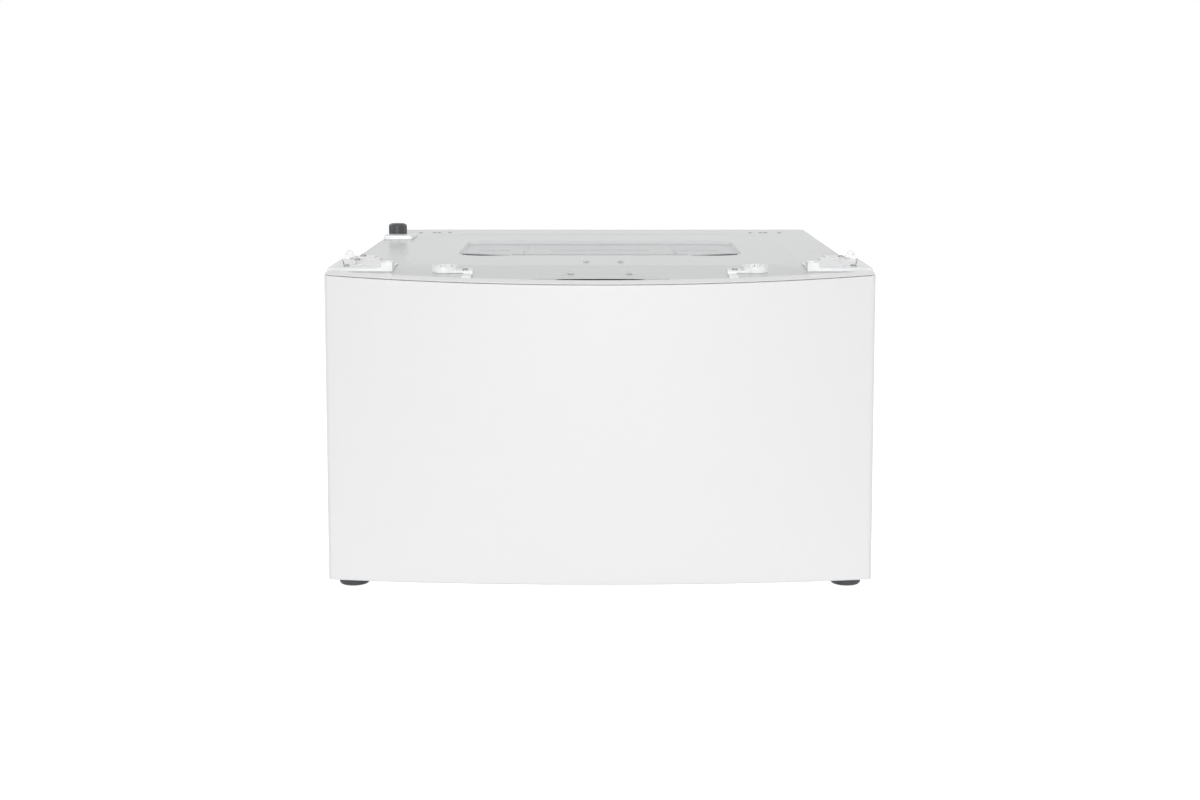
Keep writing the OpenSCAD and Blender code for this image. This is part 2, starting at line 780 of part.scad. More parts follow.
module inner_slides() {
    x = tray_x + seat;
    reach = middle_x - slide_t - 1.2 - x;
    color([0.72, 0.73, 0.74])
    for (s = [0, 1]) mirror([s, 0, 0])
        translate([0, 0, slide_z])
            along_y(slide_y, slide_y + slide_len)
                difference() {
                    translate([x, -inner_h / 2]) square([reach, inner_h]);
                    translate([x + slide_t, -inner_h / 2 + slide_t]) square([reach, inner_h - 2 * slide_t]);
                }
}

carrier_y = corner_y + rim_depth - 2;
carrier_top = plate_low - 4;
carrier_x = half_w - corner_r - 1;
tray_t = 1.2;
tray_front = carrier_y + seat;
tray_rear = rear_panel_y - tray_back;
tub_y = (tray_front + tray_rear) / 2;
tub_r = min(tray_x - tub_side, tray_rear - tub_y - tray_t - tub_gap);
basket_r = tub_r - basket_gap;
mouth_r = basket_r - mouth_inset;
pulsator_r = basket_r - pulsator_inset;
lid_w = 2 * (mouth_r + lid_lap);
lid_len = 2 * mouth_r + hinge_back + lid_front_lap;
filter_x = 150;
filter_z = 62;
filter_r = 12;

// Everything under the rim's sloping top face, lowered by drop
module under_rim(drop, z0 = 0) {
    y0 = corner_y - bow_top - e;
    y1 = corner_y + rim_depth + e;
    along_x(-half_w - e, half_w + e)
        polygon([[y0, z0], [y1, z0], [y1, rim_z(y1) - drop], [y0, rim_z(y0) - drop]]);
}

// Stations across the bowed panel: even over the face, closer round the upright corners
face_steps = 30;
flat_x = half_w - corner_r;
wall_x = half_w - front_wall;
side_stations = concat(
    [for (k = [1, 2]) flat_x + (wall_x - 0.02 - flat_x) * k / 2],
    [for (f = [0, 0.5, 0.8, 0.95, 1]) wall_x + front_wall * f]
);
stations = concat(
    [for (i = [len(side_stations) - 1 : -1 : 0]) -side_stations[i]],
    [for (i = [0 : face_steps]) -flat_x + 2 * flat_x * i / face_steps],
    side_stations
);
function round_back(x) =
    abs(x) <= flat_x ? 0 : corner_r - sqrt(max(0, corner_r * corner_r - pow(abs(x) - flat_x, 2)));

// The panel's section at x, a channel open to the back: outer points upwards, then inner ones downwards
panel_levels = 5;
function panel_section(x) = let (
    r = 2,
    w = front_wall,
    back = round_back(x),
    z0 = lower_edge + lower_arch * (1 - pow(x / half_w, 2)),
    z1 = rim_z(bow_y(x, bow_top)) - rim_t - seam,
    y0 = bow_y(x, bow_bottom),
    y1 = bow_y(x, bow_top),
    rise = front_slope * rim_depth,
    mids = [for (k = [1 : panel_levels]) z0 + (z1 - z0) * k / (panel_levels + 1)],
    filled = abs(x) >= wall_x - 0.001,
    inner = [for (z = concat([z0 + r + w], mids))
        filled ? corner_y + rim_depth - 0.5 : face_y(x, z) + back + w],
    low = filled ? inner[0] - 1.5 : y0 + back + w,
    high = filled ? inner[0] - 1.5 : y1 + back + w
) concat(
    [[y0 + rim_depth, z0], [y0 + back + r, z0], [y0 + back + 0.3 * r, z0 + 0.3 * r]],
    [[face_y(x, z0 + r) + back, z0 + r]],
    [for (z = mids) [face_y(x, z) + back, z]],
    [[y1 + back, z1 - 0.8], [y1 + back + 0.8, z1], [y1 + rim_depth, z1 + rise]],
    [[y1 + rim_depth, z1 + rise - w], [high + 0.5, z1 - w], [high, z1 - w - 0.5]],
    [for (k = [panel_levels - 1 : -1 : 0]) [inner[k + 1], mids[k]]],
    [[inner[0], z0 + r + w], [low + 0.4 * r, z0 + w + 0.4 * r], [low + r, z0 + w], [y0 + rim_depth, z0 + w]]
);

// A closed solid through one channel section at each station
module skin(xs, sections) {
    m = len(sections[0]);
    h = m / 2;
    n = len(xs);
    last = (n - 1) * m;
    points = [for (i = [0 : n - 1], p = sections[i]) [xs[i], p[0], p[1]]];
    faces = concat(
        [for (i = [0 : n - 2], j = [0 : m - 1]) [(i + 1) * m + (j + 1) % m, (i + 1) * m + j, i * m + j]],
        [for (i = [0 : n - 2], j = [0 : m - 1])
            [i * m + (j + 1) % m, (i + 1) * m + (j + 1) % m, i * m + j]],
        [for (j = [0 : h - 2]) [m - 1 - j, j + 1, j]],
        [for (j = [0 : h - 2]) [m - 1 - j, m - 2 - j, j + 1]],
        [for (j = [0 : h - 2]) [last + j + 1, last + m - 1 - j, last + j]],
        [for (j = [0 : h - 2]) [last + m - 2 - j, last + m - 1 - j, last + j + 1]]
    );
    polyhedron(points, faces, convexity = 6);
}

module front_panel() {
    color([0.97, 0.97, 0.97])
    skin(stations, [for (x = stations) panel_section(x)]);
}

// The rim's outline between the bow and a line inset behind it
module rim_band(front, back, side) {
    intersection() {
        difference() {
            bow_disc(bow_top, front);
            bow_disc(bow_top, back);
        }
        translate([-half_w + side, corner_y - bow_top]) square([front_w - 2 * side, bow_top + rim_depth]);
    }
}

module front_rim() {
    color([0.96, 0.96, 0.96])
    difference() {
        union() {
            intersection() {
                translate([0, 0, plate_low]) linear_extrude(2 * skirt_h) rim_band(0.4, rim_depth, 0.5);
                difference() {
                    under_rim(0, plate_low);
                    under_rim(rim_t, plate_low - e);
                }
            }
            // A pad under the rim that rests on the panel's flange
            intersection() {
                translate([0, 0, plate_low]) linear_extrude(2 * skirt_h) rim_band(5, rim_depth - 3, 8);
                difference() {
                    under_rim(rim_t / 2, plate_low);
                    under_rim(rim_t + seam - seat, plate_low - e);
                }
            }
        }
        for (s = [-1, 1])
            translate([s * half_w, corner_y, top_h]) rotate(45) cube([6, 6, 60], center = true);
    }
}

// A slice of the hollow behind the panel at height z, clear of the panel's wall
module carrier_slice(z) {
    intersection() {
        bow_disc(bow_at(z), front_wall + seat);
        translate([-carrier_x, corner_y - bow_top]) square([2 * carrier_x, bow_top + rim_depth - 2]);
    }
}

carrier_rib = 2.5;
carrier_z0 = lower_edge + lower_arch + front_wall + 2.4;
well_w = pull_w - 22;
well_z = plate_low - 31;

// The moulded skeleton that the bowed panel wraps: a back wall, shelves and upright ribs
module front_carrier() {
    shelves = [carrier_z0, 105, 180, 255, well_z - carrier_rib, carrier_top - carrier_rib];
    back = rim_depth + rim_gap;
    color([0.82, 0.83, 0.84])
    difference() {
        union() {
            block(-carrier_x, carrier_x, carrier_y - carrier_rib, carrier_y, carrier_z0, carrier_top);
            for (z = shelves) translate([0, 0, z]) linear_extrude(carrier_rib) carrier_slice(z);
            for (x = [-260, -195, -130, -70, 70, 130, 195, 260]) carrier_upright(x);
            // A thin lip that holds the panel's top flange in front of the cabinet
            intersection() {
                translate([0, 0, carrier_top - carrier_rib])
                    linear_extrude(skirt_h + 10)
                        difference() {
                            carrier_slice(carrier_top - carrier_rib);
                            bow_disc(bow_at(carrier_top), front_wall + 5);
                            translate([-half_w, corner_y - 9]) square([front_w, 60]);
                        }
                under_rim(rim_t + seam + front_wall + seat);
            }
        }
        // The finger well behind the rim
        block(-well_w / 2, well_w / 2, corner_y - bow_top + rim_depth + 1, carrier_y - 12, well_z,
            carrier_top + e);
        rod_y([filter_x, carrier_y - 10, filter_z], filter_r + 6, 20);
        for (x = [-226, -163, -100, 0, 100, 226], z = [142, 218])
            rod_y([x, carrier_y - 10, z], 16, 20);
    }
}

module carrier_upright(x) {
    z1 = carrier_top - carrier_rib / 2;
    gap = front_wall + seat + 0.8;
    xe = x + sign(x) * carrier_rib / 2;
    along_x(x - carrier_rib / 2, x + carrier_rib / 2)
        polygon([
            [carrier_y - carrier_rib / 2, carrier_z0 + e], [face_y(xe, carrier_z0) + gap, carrier_z0 + e],
            [face_y(xe, z1) + gap, z1], [carrier_y - carrier_rib / 2, z1]
        ]);
}

rod_x = tray_x - 38;
rod_back = tub_y - tray_front - 34;
rod_places = [for (x = [-1, 1], y = [-1, 1]) [x * rod_x, tub_y + y * rod_back]];

// A deep pan with a turned-in flange and a gusset in each corner for a suspension rod
module drawer_tray() {
    flange = 10;
    color([0.83, 0.84, 0.85])
    difference() {
        union() {
            difference() {
                block(-tray_x, tray_x, tray_front, tray_rear, tray_z, tray_top);
                block(-tray_x + tray_t, tray_x - tray_t, tray_front + tray_t, tray_rear - tray_t,
                      tray_z + tray_t, tray_top - tray_t);
                block(-tray_x + flange, tray_x - flange, tray_front + flange, tray_rear - flange,
                      tray_top - 2 * tray_t, tray_top + e);
            }
            for (sx = [-1, 1], sy = [-1, 1])
                translate([0, 0, tray_top - 3])
                    linear_extrude(3)
                        polygon([
                            [sx * (tray_x - 0.5), tub_y + sy * (tub_y - tray_front - 0.5)],
                            [sx * (tray_x - 0.5), tub_y + sy * (tub_y - tray_front - 78)],
                            [sx * (tray_x - 78), tub_y + sy * (tub_y - tray_front - 0.5)]
                        ]);
        }
        for (p = rod_places) translate([p[0], p[1], tray_top - 5]) cylinder(r = rod_r + 0.6, h = 10);
        rod_y([filter_x, tray_front - e, filter_z], filter_r + 3, 8);
        for (s = [-1, 1], y = slide_screw_ys)
            translate([s * tray_x, y, slide_z]) rotate([0, 90, 0]) cylinder(r = 2.5, h = 12, center = true);
    }
}

hinge_y = tub_y + mouth_r + hinge_back;
hinge_z = deck_z - 5;
hinge_x = lid_w / 2 - 42;
pocket_t = 2.5;
cover_t = 3.5;
pocket_z = tub_top + seat + cover_t + bounce + 2.7 + pocket_t;
lid_gap = 1.5;
lid_bottom = pocket_z + seat;
lid_front = hinge_y - lid_len;
cup_place = [-202, tray_front + 42];
cup_size = [68, 60];
panel_size = [300, 56];
button_x = [panel_size[0] / 2 - 32, panel_size[0] / 2 - 78];
button_places = [-button_x[0], -button_x[1], button_x[1], button_x[0]];
button_y = tray_front + 40;

// The drawer's top: a deck with a sunk pocket for the lid and an open mouth over the tub
module drawer_deck() {
    x1 = tray_x - 2;
    y0 = tray_front + 2;
    y1 = tray_rear - 2;
    pocket_x = lid_w / 2 + lid_gap;
    p0 = lid_front - lid_gap;
    p1 = hinge_y + 9;
    color([0.88, 0.89, 0.9])
    difference() {
        union() {
            difference() {
                block(-x1, x1, y0, y1, tray_top + seat, deck_z);
                block(-x1 + deck_t, x1 - deck_t, y0 + deck_t, y1 - deck_t, tray_top, deck_z - deck_t);
                block(-pocket_x, pocket_x, p0, p1, deck_z - deck_t - e, deck_z + e);
            }
            difference() {
                block(-pocket_x - deck_t, pocket_x + deck_t, p0 - deck_t, p1 + deck_t, pocket_z - pocket_t,
                      deck_z - deck_t / 2);
                block(-pocket_x, pocket_x, p0, p1, pocket_z, deck_z + e);
                translate([0, tub_y, pocket_z - pocket_t - e]) cylinder(r = mouth_r, h = pocket_t + 2 * e);
            }
            // A splash lip round the mouth
            translate([0, tub_y, 0])
                ring(mouth_r + 2.5, mouth_r, pocket_z - pocket_t - 1.5, pocket_z - pocket_t / 2);
            for (s = [-1, 1], d = [-1, 1])
                block(s * hinge_x + d * 9.5 - 3, s * hinge_x + d * 9.5 + 3, hinge_y - 6, hinge_y + 8,
                      pocket_z - e, hinge_z + 4.5);
        }
        for (s = [-1, 1])
            translate([s * hinge_x, hinge_y, hinge_z])
                rotate([0, 90, 0]) cylinder(r = hinge_pin_r + running, h = 27, center = true);
        // Seat for the control panel, with holes for the buttons
        block(-panel_size[0] / 2 - seat, panel_size[0] / 2 + seat, button_y - panel_size[1] / 2 - seat,
              button_y + panel_size[1] / 2 + seat, deck_z - 1.2, deck_z + e);
        for (x = button_places)
            translate([x, button_y, deck_z - 10]) cylinder(r = button_r + running, h = 12);
        translate([cup_place[0], cup_place[1], deck_z - 10]) linear_extrude(12)
            rounded_rect(cup_size[0] - 6 + 2 * seat, cup_size[1] - 6 + 2 * seat, 8 + seat);
        translate([cup_place[0], cup_place[1], deck_z - 1.5]) linear_extrude(12)
            rounded_rect(cup_size[0] + 2 * seat, cup_size[1] + 2 * seat, 10 + seat);
    }
}

module control_panel() {
    color([0.2, 0.21, 0.22])
    difference() {
        union() {
            translate([0, button_y, deck_z - 1.2 + seat]) linear_extrude(1.5)
                rounded_rect(panel_size[0], panel_size[1], 6);
            translate([0, button_y, deck_z - 1]) linear_extrude(1.7) rounded_rect(96, 34, 4);
        }
        for (x = button_places)
            translate([x, button_y, deck_z - 10]) cylinder(r = button_r + running, h = 20);
    }
}

button_top = deck_z + 2;
button_low = deck_z - 7;

module button(x) {
    color([0.9, 0.91, 0.92])
    translate([x, button_y, 0])
        difference() {
            rotate_extrude()
                polygon([
                    [0, button_low], [button_r - 1, button_low], [button_r, button_low + 1],
                    [button_r, button_top - 0.8], [button_r - 0.8, button_top], [0, button_top]
                ]);
            translate([0, 0, button_top + 18.6]) sphere(r = 19, $fn = 64);
        }
}

module button_power() { button(button_places[0]); }
module button_start() { button(button_places[1]); }
module button_cycle() { button(button_places[2]); }
module button_water() { button(button_places[3]); }

// The board under the buttons, with a key switch below each one, hung from the deck by four posts
module control_board() {
    switch_top = button_low - button_travel - seat;
    board_z = switch_top - 3.5;
    color([0.16, 0.36, 0.24])
    union() {
        block(-142, 142, button_y - 24, button_y + 24, board_z - 1.6, board_z);
        for (x = button_places) translate([x, button_y, board_z - e / 2]) cylinder(r = 4, h = 3.5 + e / 2);
        for (x = [-136, 0, 136], y = [-18, 18])
            translate([x, button_y + y, board_z - e / 2])
                cylinder(r = 3.5, h = deck_z - deck_t - seat - board_z + e / 2);
        block(-40, 40, button_y - 12, button_y + 12, board_z - e / 2, board_z + 4);
    }
}

module detergent_cup() {
    low = tray_top + 9;
    color([0.8, 0.86, 0.9])
    translate([cup_place[0], cup_place[1], 0])
        difference() {
            union() {
                translate([0, 0, deck_z - 1.5 + seat]) linear_extrude(1.5)
                    rounded_rect(cup_size[0], cup_size[1], 10);
                translate([0, 0, low]) linear_extrude(deck_z - low)
                    rounded_rect(cup_size[0] - 6, cup_size[1] - 6, 8);
            }
            translate([0, 0, low + 2]) linear_extrude(60)
                rounded_rect(cup_size[0] - 10, cup_size[1] - 10, 6);
            translate([22, 20, low - e]) cylinder(r = 4, h = 10);
        }
}

outlet_place = [filter_x, tub_y - 148];
chamber_r = filter_r + 2;
pump_top = filter_z + chamber_r + 4;
tub_spigot = tub_z - 6;

module drain_pump() {
    y0 = tray_front + tray_t + 3;
    y1 = outlet_place[1] + 16;
    color([0.32, 0.33, 0.35])
    difference() {
        union() {
            rod_y([filter_x, y0, filter_z], chamber_r, y1 - y0);
            rod_y([filter_x, y1 - 24, filter_z], chamber_r + 0.6, 22);
            rod_y([filter_x, y1 - e, filter_z], 11, 46);
            rod_y([filter_x, y1 + 8, filter_z], 13, 26);
            translate([outlet_place[0], outlet_place[1], filter_z])
                cylinder(r = 10, h = pump_top - filter_z);
            translate([filter_x + 8, y1 - 13, filter_z]) rotate([0, 75, 0]) cylinder(r = 7, h = 38);
            for (y = [y0 + 14, y1 - 20])
                block(filter_x - 16, filter_x + 16, y, y + 8, tray_z + tray_t + seat, filter_z - 8);
        }
        rod_y([filter_x, y0 - e, filter_z], filter_r, 64);
        translate([outlet_place[0], outlet_place[1], filter_z]) cylinder(r = 7, h = 40);
        translate([filter_x + 8, y1 - 13, filter_z]) rotate([0, 75, 0]) cylinder(r = 4.5, h = 40);
    }
}

module pump_filter() {
    y0 = tray_front - 8;
    color([0.22, 0.36, 0.5])
    difference() {
        union() {
            rod_y([filter_x, y0, filter_z], filter_r + 2, 6);
            rod_y([filter_x, y0, filter_z], filter_r - running, 62);
            block(filter_x - 2.5, filter_x + 2.5, y0 - 8, y0 + 1, filter_z - 11, filter_z + 11);
        }
        // Slots of the strainer cage
        for (a = [0 : 45 : 135])
            translate([filter_x, y0 + 30, filter_z]) rotate([0, a, 0]) translate([-20, 0, -2])
                cube([40, 24, 4]);
        rod_y([filter_x, y0 + 26, filter_z], filter_r - 3, 40);
    }
}

module drain_bellows() {
    z0 = pump_top + seat;
    z1 = tub_spigot - seat;
    pitch = (z1 - z0 - 4) / 4;
    color([0.15, 0.15, 0.16])
    translate([outlet_place[0], outlet_place[1], 0])
        rotate_extrude()
            polygon(concat(
                [[7, z0], [10, z0], [10, z0 + 2]],
                [for (i = [0 : 3], k = [0.25, 0.75]) [k < 0.5 ? 13 : 10.5, z0 + 2 + (i + k) * pitch]],
                [[10, z1 - 2], [10, z1], [7, z1]]
            ));
}

ear_z = 182;
cup_r = 14;
cup_h = 24 + 2 * bounce;
washer_z = ear_z - cup_h + 2;
spring_low = washer_z + 4.7;
spring_high = ear_z - seat - 5;

module suspension_rods() {
    color([0.62, 0.63, 0.64])
    for (p = rod_places)
        translate([p[0], p[1], 0])
            union() {
                cylinder_between(rod_r, washer_z, tray_top + 4);
                cylinder_between(10, washer_z, spring_low - 0.3);
                rotate_extrude()
                    polygon([[0, tray_top + seat], [7, tray_top + seat], [9, tray_top + 2.5],
                        [7, tray_top + 5.5], [0, tray_top + 7]]);
            }
}

module cylinder_between(r, z0, z1) {
    translate([0, 0, z0]) cylinder(r = r, h = z1 - z0);
}

coil_r = 8;
wire_r = 1.1;
coil_turns = 5;
coil_rings = 8;
coil_sides = 6;

// One unbroken wire wound from z0 to z1, its ends cut square
module coil_spring(z0, z1) {
    n = coil_turns * coil_rings;
    low = z0 + wire_r + 0.05;
    rise = z1 - z0 - 2 * wire_r - 0.1;
    sections = [for (i = [0 : n]) let (a = 360 * i / coil_rings) [
        for (k = [0 : coil_sides - 1]) let (b = 360 * k / coil_sides, r = coil_r + wire_r * cos(b))
            [r * cos(a), r * sin(a), low + rise * i / n + wire_r * sin(b)]
    ]];
    faces = concat(
        [for (i = [0 : n - 1], k = [0 : coil_sides - 1]) let (m = coil_sides, j = (k + 1) % m)
            [i * m + k, i * m + j, (i + 1) * m + j]],
        [for (i = [0 : n - 1], k = [0 : coil_sides - 1]) let (m = coil_sides, j = (k + 1) % m)
            [i * m + k, (i + 1) * m + j, (i + 1) * m + k]],
        [[for (k = [coil_sides - 1 : -1 : 0]) k]],
        [[for (k = [0 : coil_sides - 1]) n * coil_sides + k]]
    );
    polyhedron([for (ring = sections, p = ring) p], faces, convexity = 8);
}

module suspension_springs() {
    color([0.55, 0.56, 0.57])
    for (p = rod_places) translate([p[0], p[1], 0]) coil_spring(spring_low, spring_high);
}

module damper_cups() {
    color([0.9, 0.9, 0.88])
    for (p = rod_places)
        translate([p[0], p[1], ear_z - seat - cup_h])
            difference() {
                union() {
                    cylinder(r = cup_r - 1.5, h = cup_h);
                    cylinder(r = cup_r, h = 5);
                    translate([0, 0, cup_h - 8]) cylinder(r = cup_r, h = 8);
                }
                translate([0, 0, -e]) cylinder(r = cup_r - 3.5, h = cup_h - 5 + e);
                cylinder(r = rod_r + running, h = cup_h + e);
            }
}

housing_r = 36;
neck_r = 34;
bearing_r = 26;
hollow_r = shaft_r + running + hollow_wall;
tub_floor = 4;
basket_z = tub_z + 14;

module outer_tub() {
    ear_reach = norm([rod_x, rod_back]);
    color([0.87, 0.89, 0.9])
    translate([0, tub_y, 0])
        difference() {
            union() {
                rotate_extrude($fn = 128)
                    polygon([
                        [neck_r + seat, tub_z], [tub_r - 14, tub_z], [tub_r - 4, tub_z + 4],
                            [tub_r, tub_z + 14],
                        [tub_r, tub_top - 12], [tub_r + 3, tub_top - 10], [tub_r + 3, tub_top],
                        [tub_r - tub_wall, tub_top], [tub_r - tub_wall, tub_z + 16],
                        [tub_r - tub_wall - 4, tub_z + 8], [tub_r - 16, tub_z + tub_floor],
                        [neck_r + seat, tub_z + tub_floor]
                    ]);
                // Two hoops and twelve upright ribs stiffen the wall
                for (z = [150, 240]) ring(tub_r + 3, tub_r - 1, z, z + 4);
                for (i = [0 : 11])
                    rotate(15 + 30 * i) block(tub_r - 1, tub_r + 3, -1.5, 1.5, tub_z + 20, tub_top - 12);
                for (i = [0 : 15])
                    rotate(22.5 * i + 4)
                        block(housing_flange + 3, tub_r - 20, -1.5, 1.5, tub_z - 5, tub_z + e);
                ring(housing_flange + 6, housing_flange + 3, tub_z - 5, tub_z + e);
                for (sx = [-1, 1], sy = [-1, 1])
                    rotate(atan2(sy * rod_back, sx * rod_x)) {
                        block(tub_r - 1, ear_reach + cup_r - 4, -15, 15, ear_z, ear_z + 5);
                        for (d = [-1, 1]) block(tub_r - 1, ear_reach - 6, d * 13.5 - 1.5, d * 13.5 + 1.5,
                            ear_z, ear_z + 20);
                    }
                translate([outlet_place[0], outlet_place[1] - tub_y, tub_spigot])
                    cylinder(r = 10, h = tub_z - tub_spigot + e);
            }
            for (p = rod_places)
                translate([p[0], p[1] - tub_y, ear_z - e]) cylinder(r = rod_r + 1.5, h = 30);
            translate([outlet_place[0], outlet_place[1] - tub_y, tub_spigot - e]) cylinder(r = 7, h = 20);
        }
}

housing_flange = 104;

module tub_cover() {
    z0 = tub_top + seat;
    color([0.9, 0.91, 0.92])
    translate([0, tub_y, 0])
        rotate_extrude($fn = 128)
            polygon([
                [tub_r + 5, z0], [tub_r + 5, z0 + cover_t], [tub_r - 8, z0 + cover_t],
                    [mouth_r + 22, z0 + 1],
                [mouth_r + 15, z0 - 3], [mouth_r + 15, z0 - 5], [mouth_r + 18, z0 - 5],
                    [mouth_r + 24, z0 - 1.5],
                [tub_r - 8, z0]
            ]);
}

motor_low = tray_z + tray_t + bounce + 6.3;
housing_low = motor_low + 4;
bearing_spans = [[housing_low + 8, housing_low + 20], [tub_z - 8, tub_z + 4]];

module bearing_housing() {
    flange_z = tub_z - seat - 5;
    top = tub_z + tub_floor + 5;
    color([0.72, 0.73, 0.74])
    translate([0, tub_y, 0])
        difference() {
            rotate_extrude()
                polygon([
                    [bearing_r - 4, housing_low], [housing_r - 2, housing_low],
                        [housing_r, housing_low + 2],
                    [housing_r, flange_z - 6], [housing_r + 8, flange_z], [housing_flange, flange_z],
                    [housing_flange, flange_z + 5], [neck_r, flange_z + 5], [neck_r, top],
                        [bearing_r - 4, top]
                ]);
            for (b = bearing_spans) cylinder_between(bearing_r + running, b[0] - 0.2, b[1] + 0.2);
            cylinder_between(bearing_r + running, housing_low - e, bearing_spans[0][0]);
            cylinder_between(bearing_r + running, bearing_spans[1][1], top + e);
            for (i = [0 : 5]) rotate(60 * i) translate([housing_flange - 9, 0, flange_z - e])
                cylinder(r = 3.3, h = 10);
        }
}

module bearings() {
    color([0.75, 0.76, 0.78])
    translate([0, tub_y, 0])
        for (b = bearing_spans)
            rotate_extrude()
                polygon([
                    [hollow_r + running, b[0]], [hollow_r + 3, b[0]], [hollow_r + 3.5, b[0] + 1],
                    [bearing_r - 3.5, b[0] + 1], [bearing_r - 3, b[0]], [bearing_r, b[0]],
                        [bearing_r, b[1]],
                    [bearing_r - 3, b[1]], [bearing_r - 3.5, b[1] - 1], [hollow_r + 3.5, b[1] - 1],
                    [hollow_r + 3, b[1]], [hollow_r + running, b[1]]
                ]);
}

module shaft_seal() {
    z0 = bearing_spans[1][1] + seat;
    color([0.12, 0.12, 0.13])
    translate([0, tub_y, 0])
        rotate_extrude()
            polygon([
                [hollow_r + running, z0 + 2], [hollow_r + 2, z0], [bearing_r, z0], [bearing_r, z0 + 4],
                [hollow_r + 3, z0 + 4], [hollow_r + running, z0 + 3]
            ]);
}

stator_z = [motor_low + 8, motor_low + 30];
stator_r = rotor_r - 8;

module motor_stator() {
    color([0.6, 0.42, 0.25])
    translate([0, tub_y, stator_z[0]])
        linear_extrude(stator_z[1] - stator_z[0])
            difference() {
                circle(r = stator_r);
                circle(r = housing_r + seat);
                for (i = [0 : 23]) rotate(15 * i) translate([stator_r - 32, -4]) square([27, 8]);
                for (i = [0 : 23]) rotate(15 * i) translate([stator_r - 8, -1.5]) square([12, 3]);
            }
}

module motor_rotor() {
    color([0.5, 0.51, 0.53])
    translate([0, tub_y, 0])
        difference() {
            union() {
                rotate_extrude()
                    polygon([
                        [shaft_r + running, motor_low], [rotor_r - 2, motor_low], [rotor_r, motor_low + 2],
                        [rotor_r, stator_z[1] + 3], [rotor_r - 3, stator_z[1] + 3],
                            [rotor_r - 3, motor_low + 3],
                        [20, motor_low + 3], [20, housing_low - 0.8], [shaft_r + running, housing_low - 0.8]
                    ]);
                ring(rotor_r - 2, stator_r + 1, stator_z[0], stator_z[1]);
            }
            for (i = [0 : 11])
                rotate(30 * i) block(45, 88, -5, 5, motor_low - e, motor_low + 3 + e);
        }
}

module basket_shaft() {
    top = basket_z - seat;
    color([0.66, 0.67, 0.69])
    translate([0, tub_y, 0])
        difference() {
            union() {
                rotate_extrude()
                    polygon([
                        [shaft_r + running, housing_low + 1], [hollow_r, housing_low + 1],
                            [hollow_r, top - 4],
                        [46, top - 4], [46, top], [shaft_r + running, top]
                    ]);
                for (a = [90, 210, 330]) rotate(a) block(40, basket_r - 30, -16, 16, top - 4, top);
            }
            for (a = [90, 210, 330]) rotate(a) block(60, basket_r - 50, -8, 8, top - 5, top + e);
        }
}

// The wash basket: a thin wall with two rolled beads and a folded rim
module basket() {
    w = basket_wall;
    z1 = tub_top - 8;
    r = basket_r;
    color([0.78, 0.79, 0.8])
    translate([0, tub_y, 0])
        rotate_extrude($fn = 128)
            polygon([
                [shaft_r + 4, basket_z], [r - 12, basket_z], [r - 3, basket_z + 4], [r, basket_z + 12],
                [r, 170], [r + 2, 172], [r + 2, 176], [r, 178], [r, 232], [r + 2, 234], [r + 2, 238],
                    [r, 240],
                [r, z1 - 4], [r + 3, z1 - 4], [r + 3, z1], [r - w, z1], [r - w, 240.5], [r + 2 - w, 238.3],
                [r + 2 - w, 233.7], [r - w, 231.5], [r - w, 178.5], [r + 2 - w, 176.3], [r + 2 - w, 171.7],
                [r - w, 169.5], [r - w, basket_z + 13], [r - 4, basket_z + 5.5], [r - 12.5, basket_z + w],
                [shaft_r + 4, basket_z + w]
            ]);
}

module balance_ring() {
    r = basket_r - basket_wall - seat;
    z1 = tub_top - 8;
    color([0.85, 0.86, 0.87])
    translate([0, tub_y, 0])
        rotate_extrude($fn = 128)
            polygon([
                [r - 26, z1 - 20], [r - 22, z1 - 24], [r - 4, z1 - 24], [r, z1 - 20], [r, z1 - 1],
                [r - 3, z1 + 1], [r - 22, z1 + 1], [r - 26, z1 - 4]
            ]);
}

pulsator_z = basket_z + basket_wall + 3;
shaft_top = pulsator_z + 12;

module pulsator() {
    color([0.86, 0.88, 0.9])
    translate([0, tub_y, 0])
        difference() {
            union() {
                rotate_extrude($fn = 128)
                    polygon([
                        [0, pulsator_z], [pulsator_r - 8, pulsator_z], [pulsator_r, pulsator_z + 6],
                        [pulsator_r - 3, pulsator_z + 8], [pulsator_r - 40, pulsator_z + 6],
                            [34, pulsator_z + 9],
                        [28, pulsator_z + 20], [20, pulsator_z + 25], [0, pulsator_z + 27]
                    ]);
                // Five swept vanes
                for (i = [0 : 4])
                    rotate(72 * i)
                        intersection() {
                            translate([40, 60, pulsator_z + 3]) ring(96, 82, 0, 18);
                            translate([0, 0, pulsator_z])
                                cylinder(r1 = pulsator_r - 6, r2 = pulsator_r - 34, h = 22);
                            block(10, pulsator_r, -60, 60, pulsator_z, pulsator_z + 22);
                        }
            }
            cylinder_between(shaft_r + running, pulsator_z - e, shaft_top + seat);
            for (i = [0 : 4], r = [60, 84, 108])
                rotate(72 * i + 50) translate([r, 0, pulsator_z - e]) cylinder(r = 3, h = 12);
        }
}

module pulsator_shaft() {
    color([0.7, 0.71, 0.73])
    translate([0, tub_y, 0])
        union() {
            cylinder_between(shaft_r, motor_low - 1, shaft_top);
            cylinder_between(shaft_r + 6, motor_low - 1.8, motor_low - seat);
        }
}

window_w = lid_w - 76;
window_l = lid_len - 96;
window_y = (hinge_y + lid_front) / 2 - 2;
lid_rear = hinge_y - 8;

